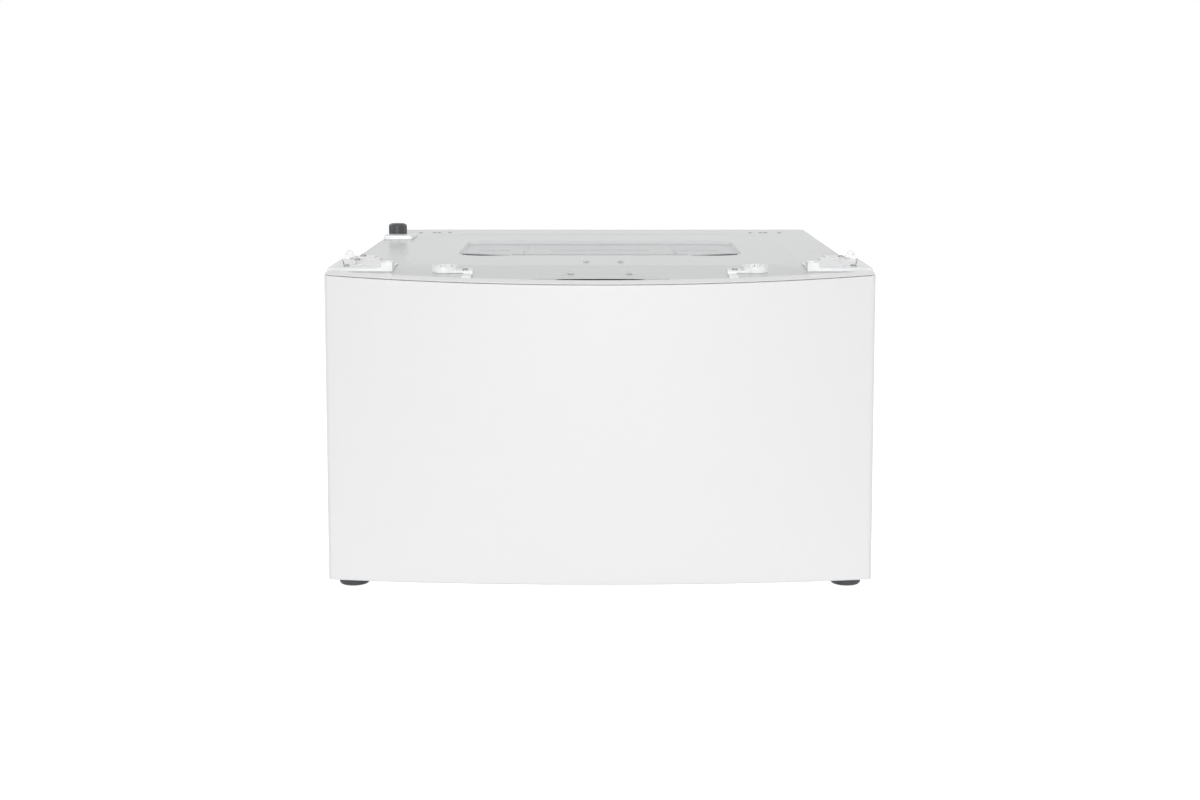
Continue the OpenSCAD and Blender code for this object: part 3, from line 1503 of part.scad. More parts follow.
module lid_frame() {
    mid = (lid_rear + lid_front) / 2;
    color([0.9, 0.91, 0.92])
    difference() {
        union() {
            translate([0, mid, lid_bottom]) linear_extrude(lid_t)
                rounded_rect(lid_w, lid_rear - lid_front, 16);
            for (s = [-1, 1]) {
                translate([s * hinge_x, hinge_y, hinge_z]) rotate([0, 90, 0])
                    cylinder(r = 4.2, h = 12, center = true);
                block(s * hinge_x - 6, s * hinge_x + 6, lid_rear - 4, hinge_y, hinge_z - 4.2, hinge_z + 1);
            }
        }
        // Window with a seat for the glass
        translate([0, window_y, lid_bottom - e]) linear_extrude(lid_t + 2 * e)
            rounded_rect(window_w, window_l, 26);
        translate([0, window_y, lid_bottom + 3]) linear_extrude(4)
            rounded_rect(window_w + 14, window_l + 14, 32);
        // Hollow underside and a finger scoop at the front
        translate([0, lid_front + 4, lid_bottom + lid_t + 14]) sphere(r = 19);
        for (s = [-1, 1])
            translate([s * hinge_x, hinge_y, hinge_z])
                rotate([0, 90, 0]) cylinder(r = hinge_pin_r + running, h = 20, center = true);
    }
}

module lid_glass() {
    color([0.55, 0.6, 0.63, 0.5])
    translate([0, window_y, lid_bottom + 3 + seat / 2])
        linear_extrude(4 - seat) rounded_rect(window_w + 13, window_l + 13, 31.5);
}

module lid_hinge_pins() {
    color([0.7, 0.7, 0.7])
    for (s = [-1, 1])
        translate([s * hinge_x, hinge_y, hinge_z]) rotate([0, 90, 0])
            cylinder(r = hinge_pin_r, h = 26, center = true);
}

base_frame();
side_panel_left();
side_panel_right();
rear_panel();
top_plate();
recess_cover();
corner_bracket_left();
corner_bracket_right();
stacking_clip_left();
stacking_clip_right();
anchor_block();
anchor_knob();
top_screws();
outer_slides();
middle_slide_left();
middle_slide_right();
inlet_valve();
drain_outlet();
power_inlet();
controller_box();
foot_front_left();
foot_front_right();
foot_rear_left();
foot_rear_right();
front_panel();
front_rim();
front_carrier();
drawer_tray();
inner_slides();
drawer_deck();
control_panel();
control_board();
detergent_cup();
drain_pump();
pump_filter();
drain_bellows();
suspension_rods();
suspension_springs();
damper_cups();
outer_tub();
tub_cover();
bearing_housing();
bearings();
shaft_seal();
motor_stator();
basket();
balance_ring();
basket_shaft();
pulsator();
pulsator_shaft();
motor_rotor();
lid_frame();
lid_glass();
lid_hinge_pins();
button_power();
button_start();
button_cycle();
button_water();
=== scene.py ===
# Pedestal washer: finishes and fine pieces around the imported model. Metres, +Z up, bowed front towards -Y.
import json
import math

import bmesh
import bpy
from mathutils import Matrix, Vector


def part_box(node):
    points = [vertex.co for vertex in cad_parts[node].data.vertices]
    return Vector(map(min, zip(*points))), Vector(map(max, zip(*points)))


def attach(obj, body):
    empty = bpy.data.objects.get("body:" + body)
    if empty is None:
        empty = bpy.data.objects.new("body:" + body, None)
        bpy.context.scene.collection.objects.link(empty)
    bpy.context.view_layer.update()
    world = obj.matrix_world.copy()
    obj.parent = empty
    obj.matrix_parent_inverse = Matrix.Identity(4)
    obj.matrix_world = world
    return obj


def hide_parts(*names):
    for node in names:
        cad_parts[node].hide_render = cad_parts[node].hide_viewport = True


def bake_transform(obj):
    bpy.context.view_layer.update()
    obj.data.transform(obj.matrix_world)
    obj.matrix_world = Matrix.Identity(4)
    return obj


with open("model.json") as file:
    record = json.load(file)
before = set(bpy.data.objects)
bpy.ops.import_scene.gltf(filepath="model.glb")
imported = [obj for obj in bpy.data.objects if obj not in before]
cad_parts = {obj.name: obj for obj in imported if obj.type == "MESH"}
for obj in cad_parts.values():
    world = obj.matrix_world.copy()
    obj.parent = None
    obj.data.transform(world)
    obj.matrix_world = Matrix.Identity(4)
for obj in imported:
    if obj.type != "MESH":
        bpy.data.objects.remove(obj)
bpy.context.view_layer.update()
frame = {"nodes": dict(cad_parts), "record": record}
cadNodes = frame["nodes"]
record = frame["record"]
slotOf = {part["node"]: part["material_slot"] for part in record["subparts"]}
bodyOf = {node: body for body, members in record["behaviour"]["bodies"].items() for node in members}
print("frame loaded:", len(cadNodes), "nodes")


# Small helpers for node trees
def feed(tree, sockets, values):
    # A value that is itself a socket is linked, any other is set
    for label, value in values.items():
        if isinstance(value, bpy.types.NodeSocket):
            tree.links.new(value, sockets[label])
        else:
            sockets[label].default_value = value


def putNode(tree, kind, inputs=None, **settings):
    # Adds a node and returns its output sockets
    node = tree.nodes.new(kind)
    for name, value in settings.items():
        setattr(node, name, value)
    feed(tree, node.inputs, inputs or {})
    return node.outputs


def calc(tree, operation, first, second=0.0):
    return putNode(tree, "ShaderNodeMath", {0: first, 1: second}, operation=operation)[0]


def sumsOf(tree):
    # Plus, minus, times and over, as nodes of this tree
    kinds = ("ADD", "SUBTRACT", "MULTIPLY", "DIVIDE")
    return [lambda a, b, kind=kind: calc(tree, kind, a, b) for kind in kinds]


def vector(tree, **axes):
    return putNode(tree, "ShaderNodeCombineXYZ", axes)[0]


def scaled(tree, arrow, factor):
    return putNode(tree, "ShaderNodeVectorMath", {0: arrow, "Scale": factor}, operation="SCALE")[0]


def openGroup(name, kind, inputs, outputs):
    # inputs maps a label to (socket type, value); returns the tree with its own input and output sockets
    tree = bpy.data.node_groups.new(name, kind)
    for label, (socketType, value) in inputs.items():
        socket = tree.interface.new_socket(label, in_out="INPUT", socket_type="NodeSocket" + socketType)
        if value is not None:
            socket.default_value = value
    for label, socketType in outputs.items():
        tree.interface.new_socket(label, in_out="OUTPUT", socket_type="NodeSocket" + socketType)
    return tree, tree.nodes.new("NodeGroupInput").outputs, tree.nodes.new("NodeGroupOutput").inputs


# Surface effects that several finishes share
effects = {
    "peelPatch": 60.0, "toneDetail": 3.0, "wearFrom": 0.51, "wearTo": 0.6, "wearPatch": 180.0,
    "flakeBase": 0.9, "flakeTone": 0.16, "flakeRough": 0.12, "lineDetail": 4.0, "lineSpread": 0.25,
}


def objectPoint(tree):
    return putNode(tree, "ShaderNodeTexCoord")["Object"]


def noise(tree, size, detail=2.0, place=None):
    return putNode(tree, "ShaderNodeTexNoise", {
        "Vector": place or objectPoint(tree), "Scale": size, "Detail": detail,
    })["Fac"]


def swing(tree, pattern, amount):
    # A pattern around one half becomes a drift around zero
    return calc(tree, "MULTIPLY", calc(tree, "SUBTRACT", pattern, 0.5), amount)


def makePeelGroup():
    # The faint orange peel of sprayed enamel and the grain of moulded plastic
    tree, entry, exit = openGroup("peelAndGrain", "ShaderNodeTree", {
        "Size": ("Float", 700.0), "Roughness": ("Float", 0.3), "Spread": ("Float", 0.06),
    }, {"Height": "Float", "Roughness": "Float"})
    patches = noise(tree, calc(tree, "DIVIDE", entry["Size"], effects["peelPatch"]))
    rough = calc(tree, "ADD", entry["Roughness"], swing(tree, patches, entry["Spread"]))
    feed(tree, exit, {"Height": noise(tree, entry["Size"]), "Roughness": rough})
    return tree


def makeToneGroup():
    # Slow drift of lightness over a surface
    tree, entry, exit = openGroup("toneDrift", "ShaderNodeTree", {
        "Colour": ("Color", (0.8, 0.8, 0.8, 1)), "Size": ("Float", 8.0), "Amount": ("Float", 0.02),
    }, {"Colour": "Color"})
    drift = swing(tree, noise(tree, entry["Size"], effects["toneDetail"]), entry["Amount"])
    feed(tree, exit, {"Colour": scaled(tree, entry["Colour"], calc(tree, "ADD", drift, 1.0))})
    return tree


def makeEdgeWearAndGlintGroup():
    # Raised edges turn lighter in patches: partly rubbed wear, partly a painted glint where light catches
    # them
    tree, entry, exit = openGroup("edgeWear", "ShaderNodeTree", {
        "Colour": ("Color", (0.2, 0.2, 0.2, 1)), "Edge colour": ("Color", (0.5, 0.5, 0.5, 1)),
        "Amount": ("Float", 0.4),
    }, {"Colour": "Color"})
    edge = putNode(tree, "ShaderNodeMapRange", {
        "Value": putNode(tree, "ShaderNodeNewGeometry")["Pointiness"],
        "From Min": effects["wearFrom"], "From Max": effects["wearTo"],
    })[0]
    patchy = calc(tree, "MULTIPLY", edge, noise(tree, effects["wearPatch"]))
    share = calc(tree, "MULTIPLY", patchy, entry["Amount"])
    # Sockets 6 and 7 are the two colours of a colour mix, and output 2 is its result
    mix = putNode(tree, "ShaderNodeMix", {"Factor": share, 6: entry["Colour"], 7: entry["Edge colour"]},
                  data_type="RGBA")
    feed(tree, exit, {"Colour": mix[2]})
    return tree


def makeSpangleGroup():
    # The crystal flakes of zinc plated sheet
    tree, entry, exit = openGroup("zincSpangle", "ShaderNodeTree", {
        "Colour": ("Color", (0.6, 0.6, 0.6, 1)), "Size": ("Float", 90.0), "Roughness": ("Float", 0.4),
    }, {"Colour": "Color", "Roughness": "Float"})
    cells = putNode(tree, "ShaderNodeTexVoronoi", {"Vector": objectPoint(tree), "Scale": entry["Size"]})
    flake = putNode(tree, "ShaderNodeSeparateColor", {"Color": cells["Color"]})[0]
    level = calc(tree, "ADD", calc(tree, "MULTIPLY", flake, effects["flakeTone"]), effects["flakeBase"])
    rough = calc(tree, "ADD", entry["Roughness"], calc(tree, "MULTIPLY", flake, effects["flakeRough"]))
    feed(tree, exit, {"Colour": scaled(tree, entry["Colour"], level), "Roughness": rough})
    return tree


def makeLinesGroup():
    # Fine tool marks that run round a turned piece or along a drawn one
    tree, entry, exit = openGroup("toolLines", "ShaderNodeTree", {
        "Stretch": ("Vector", (1, 1, 40)), "Size": ("Float", 30.0), "Roughness": ("Float", 0.3),
    }, {"Height": "Float", "Roughness": "Float"})
    drawn = putNode(tree, "ShaderNodeVectorMath", {0: objectPoint(tree), 1: entry["Stretch"]},
                    operation="MULTIPLY")
    lines = noise(tree, entry["Size"], effects["lineDetail"], drawn[0])
    rough = calc(tree, "ADD", entry["Roughness"], swing(tree, lines, effects["lineSpread"]))
    feed(tree, exit, {"Height": lines, "Roughness": rough})
    return tree


peelGroup = makePeelGroup()
toneGroup = makeToneGroup()
edgeWearAndGlintGroup = makeEdgeWearAndGlintGroup()
spangleGroup = makeSpangleGroup()
linesGroup = makeLinesGroup()


# Materials: each maker puts the shared effects together for one kind of finish
def useGroup(tree, group, values):
    return putNode(tree, "ShaderNodeGroup", values, node_tree=group)


def toned(tree, colour, size, amount):
    return useGroup(tree, toneGroup, {"Colour": colour, "Size": size, "Amount": amount})["Colour"]


def rubbedAndGlinted(tree, colour, edge, amount):
    return useGroup(tree, edgeWearAndGlintGroup, {"Colour": colour, "Edge colour": edge, "Amount": amount})["Colour"]


def grained(tree, size, roughness, spread):
    return useGroup(tree, peelGroup, {"Size": size, "Roughness": roughness, "Spread": spread})


def startMaterial(name, plain):
    material = bpy.data.materials.new(name)
    material.use_nodes = True
    surface = material.node_tree.nodes["Principled BSDF"].inputs
    feed(material.node_tree, surface, plain)
    return material, material.node_tree, surface


def dress(tree, surface, colour, roughness, height=None, strength=0.0, depth=0.0):
    feed(tree, surface, {"Base Color": colour, "Roughness": roughness})
    if height:
        bump = putNode(tree, "ShaderNodeBump", {"Height": height, "Strength": strength, "Distance": depth})
        feed(tree, surface, {"Normal": bump[0]})


def rgba(colour):
    return (*colour, 1)


def enamel(tree, surface, s):
    tone = toned(tree, rgba(s["colour"]), size=5.0, amount=s["drift"])
    peel = grained(tree, s["peel"], s["roughness"], spread=0.05)
    dress(tree, surface, tone, peel["Roughness"], peel["Height"], s["bump"], depth=0.00006)


def moulded(tree, surface, s):
    tone = toned(tree, rgba(s["colour"]), size=12.0, amount=s["drift"])
    wornAndGlinted = rubbedAndGlinted(tree, tone, rgba(s["edge"]), amount=0.5)
    grain = grained(tree, s["peel"], s["roughness"], spread=0.1)
    dress(tree, surface, wornAndGlinted, grain["Roughness"], grain["Height"], s["bump"], depth=0.0001)


def platedSheet(tree, surface, s):
    flakes = useGroup(tree, spangleGroup, {
        "Colour": rgba(s["colour"]), "Size": s["flake"], "Roughness": s["roughness"],
    })
    tone = toned(tree, flakes["Colour"], size=3.0, amount=0.08)
    grain = grained(tree, size=400.0, roughness=0.3, spread=0.05)
    dress(tree, surface, tone, flakes["Roughness"], grain["Height"], s["bump"], depth=0.0001)


def turnedMetal(tree, surface, s):
    lines = useGroup(tree, linesGroup, {
        "Stretch": s["stretch"], "Size": s["lines"], "Roughness": s["roughness"],
    })
    tone = toned(tree, rgba(s["colour"]), size=9.0, amount=0.06)
    wornAndGlinted = rubbedAndGlinted(tree, tone, rgba(s["edge"]), amount=0.6)
    dress(tree, surface, wornAndGlinted, lines["Roughness"], lines["Height"], s["bump"], depth=0.00005)


def clearSheet(tree, surface, s):
    haze = grained(tree, size=60.0, roughness=s["roughness"], spread=0.04)
    tone = toned(tree, rgba(s["colour"]), size=6.0, amount=0.03)
    dress(tree, surface, tone, haze["Roughness"])


def spaced(plain):
    # Shader labels have spaces where the names here have underscores
    return {name.replace("_", " "): value for name, value in plain.items()}


def sprayed(colour, roughness, **plain):
    return {"colour": colour, "roughness": roughness, "drift": 0.012, "peel": 900.0, "bump": 0.12,
            "plain": spaced(plain)}


# edge is the lighter colour that raised edges turn to: rubbed wear together with a painted glint
def plastic(colour, roughness, edge=None, bump=0.15, **plain):
    return {"colour": colour, "roughness": roughness, "drift": 0.04, "peel": 1400.0, "bump": bump,
            "edge": edge or colour, "plain": spaced(plain)}


# edge is the lighter colour that raised edges turn to: rubbed wear together with a painted glint
def metal(colour, roughness, stretch=(1, 1, 40), lines=30.0, metallic=0.95, bump=0.2, edge=None):
    return {"colour": colour, "roughness": roughness, "stretch": stretch, "lines": lines,
            "bump": bump, "edge": edge or colour, "plain": {"Metallic": metallic}}


# One entry for each finish that the model's record names
finishes = {
    "front_white": (enamel, sprayed((0.93, 0.93, 0.935), 0.34, Coat_Weight=0.25, Coat_Roughness=0.12)),
    "rim_white": (enamel, sprayed((0.95, 0.95, 0.955), 0.2)),
    "plate_grey": (enamel, sprayed((0.755, 0.765, 0.77), 0.24, Specular_IOR_Level=0.2)),
    "recess_grey": (enamel, sprayed((0.69, 0.7, 0.71), 0.3, Specular_IOR_Level=0.3)),
    "cabinet_grey": (enamel, sprayed((0.78, 0.785, 0.79), 0.36)),
    "galvanised": (platedSheet, {"colour": (0.62, 0.64, 0.66), "flake": 110.0, "roughness": 0.38,
                                 "bump": 0.15, "plain": {"Metallic": 0.85}}),
    "clear_white": (moulded, plastic((0.95, 0.955, 0.96), 0.26)),
    "dark_plastic": (moulded, plastic((0.06, 0.063, 0.068), 0.36, (0.16, 0.16, 0.17), 0.3)),
    "foot_rubber": (moulded, plastic((0.075, 0.08, 0.085), 0.62, (0.2, 0.2, 0.2), 0.4)),
    "screw_steel": (turnedMetal, metal((0.34, 0.34, 0.35), 0.4, edge=(0.6, 0.6, 0.6))),
    "deck_white": (moulded, plastic((0.82, 0.83, 0.84), 0.36)),
    "panel_black": (moulded, plastic((0.02, 0.021, 0.024), 0.16, (0.06, 0.06, 0.06), 0.03, Coat_Weight=0.6)),
    "button_white": (moulded, plastic((0.84, 0.85, 0.86), 0.3)),
    "board_green": (moulded, plastic((0.02, 0.12, 0.05), 0.35, (0.1, 0.3, 0.15))),
    "cup_blue": (clearSheet, {"colour": (0.8, 0.9, 0.96), "roughness": 0.2,
                              "plain": {"Transmission Weight": 0.55, "IOR": 1.4}}),
    "filter_blue": (moulded, plastic((0.03, 0.09, 0.19), 0.42, (0.1, 0.2, 0.32))),
    "tub_plastic": (moulded, plastic((0.72, 0.74, 0.75), 0.46)),
    "carrier_plastic": (moulded, plastic((0.66, 0.67, 0.68), 0.5)),
    "drum_steel": (turnedMetal, metal((0.66, 0.67, 0.69), 0.24, (1, 1, 120), 26.0, 1.0, 0.12)),
    "shaft_steel": (turnedMetal, metal((0.55, 0.56, 0.58), 0.28, (1, 1, 50), 60.0, 1.0)),
    "housing_alloy": (turnedMetal, metal((0.58, 0.59, 0.6), 0.48, (1, 1, 1), 500.0, 0.9, 0.4)),
    "winding_copper": (turnedMetal, metal((0.5, 0.2, 0.07), 0.32, (1, 1, 1), 260.0, 0.9)),
    "seal_rubber": (moulded, plastic((0.012, 0.012, 0.013), 0.55, (0.05, 0.05, 0.05), 0.3)),
    "lid_glass": (clearSheet, {"colour": (0.72, 0.78, 0.8), "roughness": 0.06,
                               "plain": {"Transmission Weight": 0.92, "IOR": 1.3, "Alpha": 0.55}}),
}
materials = {}
for slot, (build, settings) in finishes.items():
    materials[slot], slotTree, slotSurface = startMaterial(slot, settings["plain"])
    build(slotTree, slotSurface, settings)
for node, piece in cadNodes.items():
    piece.data.materials.clear()
    piece.data.materials.append(materials[slotOf[node]])
print("materials made:", len(materials))


# Helpers for objects and meshes
def addObject(name, data):
    thing = bpy.data.objects.new(name, data)
    bpy.context.scene.collection.objects.link(thing)
    return thing


def addModifier(piece, name, kind, **settings):
    modifier = piece.modifiers.new(name, kind)
    for label, value in settings.items():
        setattr(modifier, label, value)
    return modifier


def plainMesh(draft):
    # The draft's final shape as a mesh of its own; the draft itself goes
    view = bpy.context.evaluated_depsgraph_get()
    mesh = bpy.data.meshes.new_from_object(draft.evaluated_get(view))
    draft.modifiers.clear()
    bpy.data.objects.remove(draft)
    return mesh


def smoothMesh(mesh, sharp):
    for face in mesh.polygons:
        face.use_smooth = True
    mesh.set_sharp_from_angle(angle=math.radians(sharp))
    return mesh


def bridge(work, here, there):
    for j in range(len(here)):
        following = (j + 1) % len(here)
        work.faces.new((here[j], here[following], there[following], there[j]))


def closeWork(work, name, sharp=40):
    # With a sharp angle of 0 the faces stay flat
    bmesh.ops.recalc_face_normals(work, faces=work.faces)
    mesh = bpy.data.meshes.new(name)
    work.to_mesh(mesh)
    work.free()
    return smoothMesh(mesh, sharp) if sharp else mesh


def boxOf(node):
    return [Vector(corner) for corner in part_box(node)]


def placePiece(name, mesh, slot, body, replaced=()):
    piece = addObject(name, mesh)
    if not mesh.materials:
        mesh.materials.append(materials[slot])
    if body:
        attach(piece, body)
    if replaced:
        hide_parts(*replaced)
    return piece


# Finished copies of the CAD shells: merged, with softened edges and smooth curves
softening = {"merge": 2e-6, "sharp": 32, "segments": 2}


def softenedCopy(node, width, label="_finished", slot=None, keep=None, reshape=None, cutter=None):
    # keep is a test on a point: only the loose parts that pass it stay; reshape moves a point
    mesh = cadNodes[node].data.copy()
    work = bmesh.new()
    work.from_mesh(mesh)
    bmesh.ops.remove_doubles(work, verts=work.verts, dist=softening["merge"])
    if keep:
        bmesh.ops.delete(work, geom=[v for v in work.verts if not keep(v.co)], context="VERTS")
    for vert in work.verts if reshape else ():
        reshape(vert.co)
    work.to_mesh(mesh)
    work.free()
    draft = addObject(node + "_draft", smoothMesh(mesh, softening["sharp"]))
    if cutter:
        addModifier(draft, "cut", "BOOLEAN", operation="DIFFERENCE", object=cutter)
    if width:
        addModifier(draft, "edges", "BEVEL", width=width, segments=softening["segments"],
                    limit_method="ANGLE", angle_limit=math.radians(softening["sharp"]),
                    miter_outer="MITER_ARC")
        addModifier(draft, "shading", "WEIGHTED_NORMAL", keep_sharp=True)
    copy = plainMesh(draft)
    slot = slot or slotOf[node]
    copy.materials.clear()
    copy.materials.append(materials[slot])
    placePiece(node + label, copy, slot, bodyOf[node], [node])


# Width of each softened edge, in metres
softEdges = {
    "corner_bracket_left": 0.0005, "corner_bracket_right": 0.0005,
    "stacking_clip_left": 0.0005, "stacking_clip_right": 0.0005, "anchor_knob": 0.0003,
    "front_rim": 0.0003, "foot_front_left": 0.0004, "foot_front_right": 0.0004,
    "foot_rear_left": 0.0004, "foot_rear_right": 0.0004,
    "side_panel_left": 0.0004, "side_panel_right": 0.0004,
    "rear_panel": 0.0004, "base_frame": 0.0004, "inlet_valve": 0.0004, "drain_outlet": 0.0003,
    "power_inlet": 0.0003, "drawer_deck": 0.0008, "drawer_tray": 0.0003, "control_panel": 0.0004,
    "button_power": 0.0003, "button_start": 0.0003, "button_cycle": 0.0003, "button_water": 0.0003,
    "detergent_cup": 0.0005, "lid_frame": 0.0008, "lid_glass": 0.0004, "outer_slides": 0.0003,
    "middle_slide_left": 0.0003, "middle_slide_right": 0.0003, "inner_slides": 0.0003, "tub_cover": 0.0,
    "balance_ring": 0.0, "basket": 0.0, "pulsator": 0.0005, "front_carrier": 0.0003, "pump_filter": 0.0004,
    "lid_hinge_pins": 0.0003, "outer_tub": 0.0,
}
for node, width in softEdges.items():
    softenedCopy(node, width)
print("shells finished:", len(softEdges))


# The top plate: its bead is lowered, and the finger pull shows as a thin lens behind the front's rim
plateTop = 0.365
plateShape = {"beadShare": 0.35, "bend": -0.203, "slope": 0.073, "edge": 0.0009}
pullLens = {"half": 0.0745, "edge": -0.3015, "middle": 0.0204, "fall": 0.0026, "steps": 32,
            "ahead": 0.02, "under": 0.04, "over": 0.01}
topScrews = {"paleWithin": 0.06, "edge": 0.00015}


def plateHeight(y):
    # The plate is level behind its bend and falls forwards from there
    return plateTop - plateShape["slope"] * max(0.0, plateShape["bend"] - y)


def lowerBead(point):
    if point.z > plateTop:
        point.z = plateTop + (point.z - plateTop) * plateShape["beadShare"]


def lensBack(x):
    # Rear line of the finger pull's opening
    return pullLens["edge"] + pullLens["middle"] - pullLens["fall"] * (x / pullLens["half"]) ** 2


def makeLensCutter(s):
    # An upright prism in front of that line
    front = s["edge"] - s["ahead"]
    across = [s["half"] * (2 * k / s["steps"] - 1) for k in range(s["steps"] + 1)]
    line = [(x, lensBack(x)) for x in across] + [(s["half"], front), (-s["half"], front)]
    work = bmesh.new()
    ends = (plateTop - s["under"], plateTop + s["over"])
    low, high = ([work.verts.new((x, y, z)) for x, y in line] for z in ends)
    bridge(work, low, high)
    work.faces.new(low)
    work.faces.new(high)
    return addObject("lensCutter", closeWork(work, "lensCutter", sharp=0))


lensCutter = makeLensCutter(pullLens)
softenedCopy("top_plate", plateShape["edge"], reshape=lowerBead, cutter=lensCutter)
bpy.data.objects.remove(lensCutter)


# The screws near the middle of the plate are pale, those of the brackets and clips dark
def nearMiddle(point):
    return abs(point.x) < topScrews["paleWithin"]


softenedCopy("top_screws", topScrews["edge"], label="_dark", keep=lambda point: not nearMiddle(point))
softenedCopy("top_screws", topScrews["edge"], label="_pale", slot="plate_grey", keep=nearMiddle)


# Helpers for Geometry Nodes trees
def openShape(name, inputs):
    # Every shape tree takes a finish too
    inputs = {**inputs, "Finish": ("Material", None)}
    return openGroup(name, "GeometryNodeTree", inputs, {"Geometry": "Geometry"})


def shapeWith(tree, slot, values, blank=None, evenNormals=False):
    # Runs the tree, over a blank mesh if it needs one, and returns the plain result
    values = {**values, "Finish": materials[slot]}
    draft = addObject(tree.name + "Draft", blank or bpy.data.meshes.new("seed"))
    shaper = addModifier(draft, "shape", "NODES", node_group=tree)
    for item in tree.interface.items_tree:
        if item.in_out == "INPUT" and item.name in values:
            shaper[item.identifier] = values[item.name]
    if evenNormals:
        addModifier(draft, "shading", "WEIGHTED_NORMAL", keep_sharp=True)
    return plainMesh(draft)


def pointOf(tree):
    # X, Y and Z of the point that is being placed
    point = putNode(tree, "GeometryNodeInputPosition")[0]
    return putNode(tree, "ShaderNodeSeparateXYZ", {0: point})


def shifted(tree, geometry, move=(0, 0, 0), turn=(0, 0, 0)):
    values = {"Geometry": geometry, "Translation": move, "Rotation": turn}
    return putNode(tree, "GeometryNodeTransform", values)[0]


def joined(tree, parts):
    node = tree.nodes.new("GeometryNodeJoinGeometry")
    for part in reversed(parts):
        tree.links.new(part, node.inputs[0])
    return node.outputs[0]


def copiesOn(tree, points, item, **more):
    values = {"Points": points, "Instance": item, **more}
    return putNode(tree, "GeometryNodeInstanceOnPoints", values)[0]


def copiesInRow(tree, entry, item):
    line = putNode(tree, "GeometryNodeMeshLine", {
        "Count": entry["Count"], "Start Location": entry["Start"], "Offset": entry["Step"],
    }, mode="OFFSET")
    return copiesOn(tree, line[0], item)


def circle(tree, radius, points):
    return putNode(tree, "GeometryNodeCurvePrimitiveCircle", {"Resolution": points, "Radius": radius})[0]


def wireAlong(tree, path, wire, **more):
    values = {"Curve": path, "Profile Curve": wire, **more}
    return putNode(tree, "GeometryNodeCurveToMesh", values)[0]


def closeTree(tree, entry, exit, geometry, marked=None, markedFinish=None):
    # Faces with the marked attribute get a finish of their own
    real = putNode(tree, "GeometryNodeRealizeInstances", {"Geometry": geometry})[0]
    dressed = putNode(tree, "GeometryNodeSetMaterial", {"Geometry": real, "Material": entry["Finish"]})[0]
    if marked:
        isMarked = putNode(tree, "GeometryNodeInputNamedAttribute", {"Name": marked}, data_type="BOOLEAN")
        dressed = putNode(tree, "GeometryNodeSetMaterial", {
            "Geometry": dressed, "Selection": isMarked[0], "Material": markedFinish,
        })[0]
    feed(tree, exit, {"Geometry": dressed})
    return tree


# The bowed front panel: a straight channel blank that the tree bends along the bow
bowedFront = {
    "shape": {
        "Half Width": 0.3, "Side Line": -0.265, "Top Bow": 0.06, "Bottom Bow": 0.038, "Lower Edge": 0.023,
        "Lower Arch": 0.0045, "Plate Height": plateTop, "Top Gap": 0.0043, "Slope": plateShape["slope"],
        "Blank Height": 0.334,
    },
    "wall": 0.002, "lip": 0.022, "endLip": 0.0025, "corner": 0.005, "steps": 64, "levels": 18,
    "bend": 0.002, "bendSteps": 5, "topBend": 0.0008, "innerTopBend": 0.0005, "topBendSteps": 4,
    "cornerShares": (0.25, 0.5, 0.75, 1), "wallShares": (0, 0.3, 0.55, 0.75, 0.88, 0.96, 1), "inset": 2e-5,
}


def quarterArc(centre, radius, start, count):
    # Points of a quarter turn round centre, as depth and height
    angles = [start - k * math.pi / 2 / count for k in range(count + 1)]
    return [(centre[0] + radius * math.cos(angle), centre[1] + radius * math.sin(angle)) for angle in angles]


def channelSection(x, s):
    # The blank's outer and inner line at x, each from the lower lip up the face to the upper lip.
    # At the ends the inner line lies close behind the lips, so each end is closed.
    height, lip = s["shape"]["Blank Height"], s["lip"]
    past = abs(x) - (s["shape"]["Half Width"] - s["corner"])
    back = s["corner"] - math.sqrt(max(0.0, s["corner"] ** 2 - past ** 2)) if past > 0 else 0.0
    closed = abs(x) >= s["shape"]["Half Width"] - s["wall"]
    face = lip - s["endLip"] if closed else back + s["wall"]
    heights = [height * (k + 1) / (s["levels"] + 1) for k in range(s["levels"])]

    def line(depth, low, high, topBend):
        below = quarterArc((depth + s["bend"], low + s["bend"]), s["bend"], -math.pi / 2, s["bendSteps"])
        above = quarterArc((depth + topBend, high - topBend), topBend, math.pi, s["topBendSteps"])
        return [(lip, low), *below, *((depth, z) for z in heights), *above, (lip, high)]

    return line(back, 0.0, height, s["topBend"]), line(face, s["wall"], height - s["wall"], s["innerTopBend"])


def channelBlank(s):
    half, wall = s["shape"]["Half Width"], s["wall"]
    flat = half - s["corner"]
    ends = [flat + (half - wall - s["inset"] - flat) * share for share in s["cornerShares"]]
    ends += [half - wall * (1 - share) for share in s["wallShares"]]
    middle = [-flat + 2 * flat * k / s["steps"] for k in range(s["steps"] + 1)]
    work = bmesh.new()
    rows = []
    for x in [-end for end in reversed(ends)] + middle + ends:
        rows.append([[work.verts.new((x, depth, height)) for depth, height in line]
                     for line in channelSection(x, s)])
    last = len(rows[0][0]) - 1
    for (outerA, innerA), (outerB, innerB) in zip(rows, rows[1:]):
        for k in range(last):
            work.faces.new((outerA[k], outerB[k], outerB[k + 1], outerA[k + 1]))
            work.faces.new((innerA[k + 1], innerB[k + 1], innerB[k], innerA[k]))
        work.faces.new((outerA[0], innerA[0], innerB[0], outerB[0]))
        work.faces.new((outerB[last], innerB[last], innerA[last], outerA[last]))
    for outer, inner in (rows[0], rows[-1]):
        for k in range(last):
            work.faces.new((outer[k], outer[k + 1], inner[k + 1], inner[k]))
    return closeWork(work, "frontBlank", sharp=35)


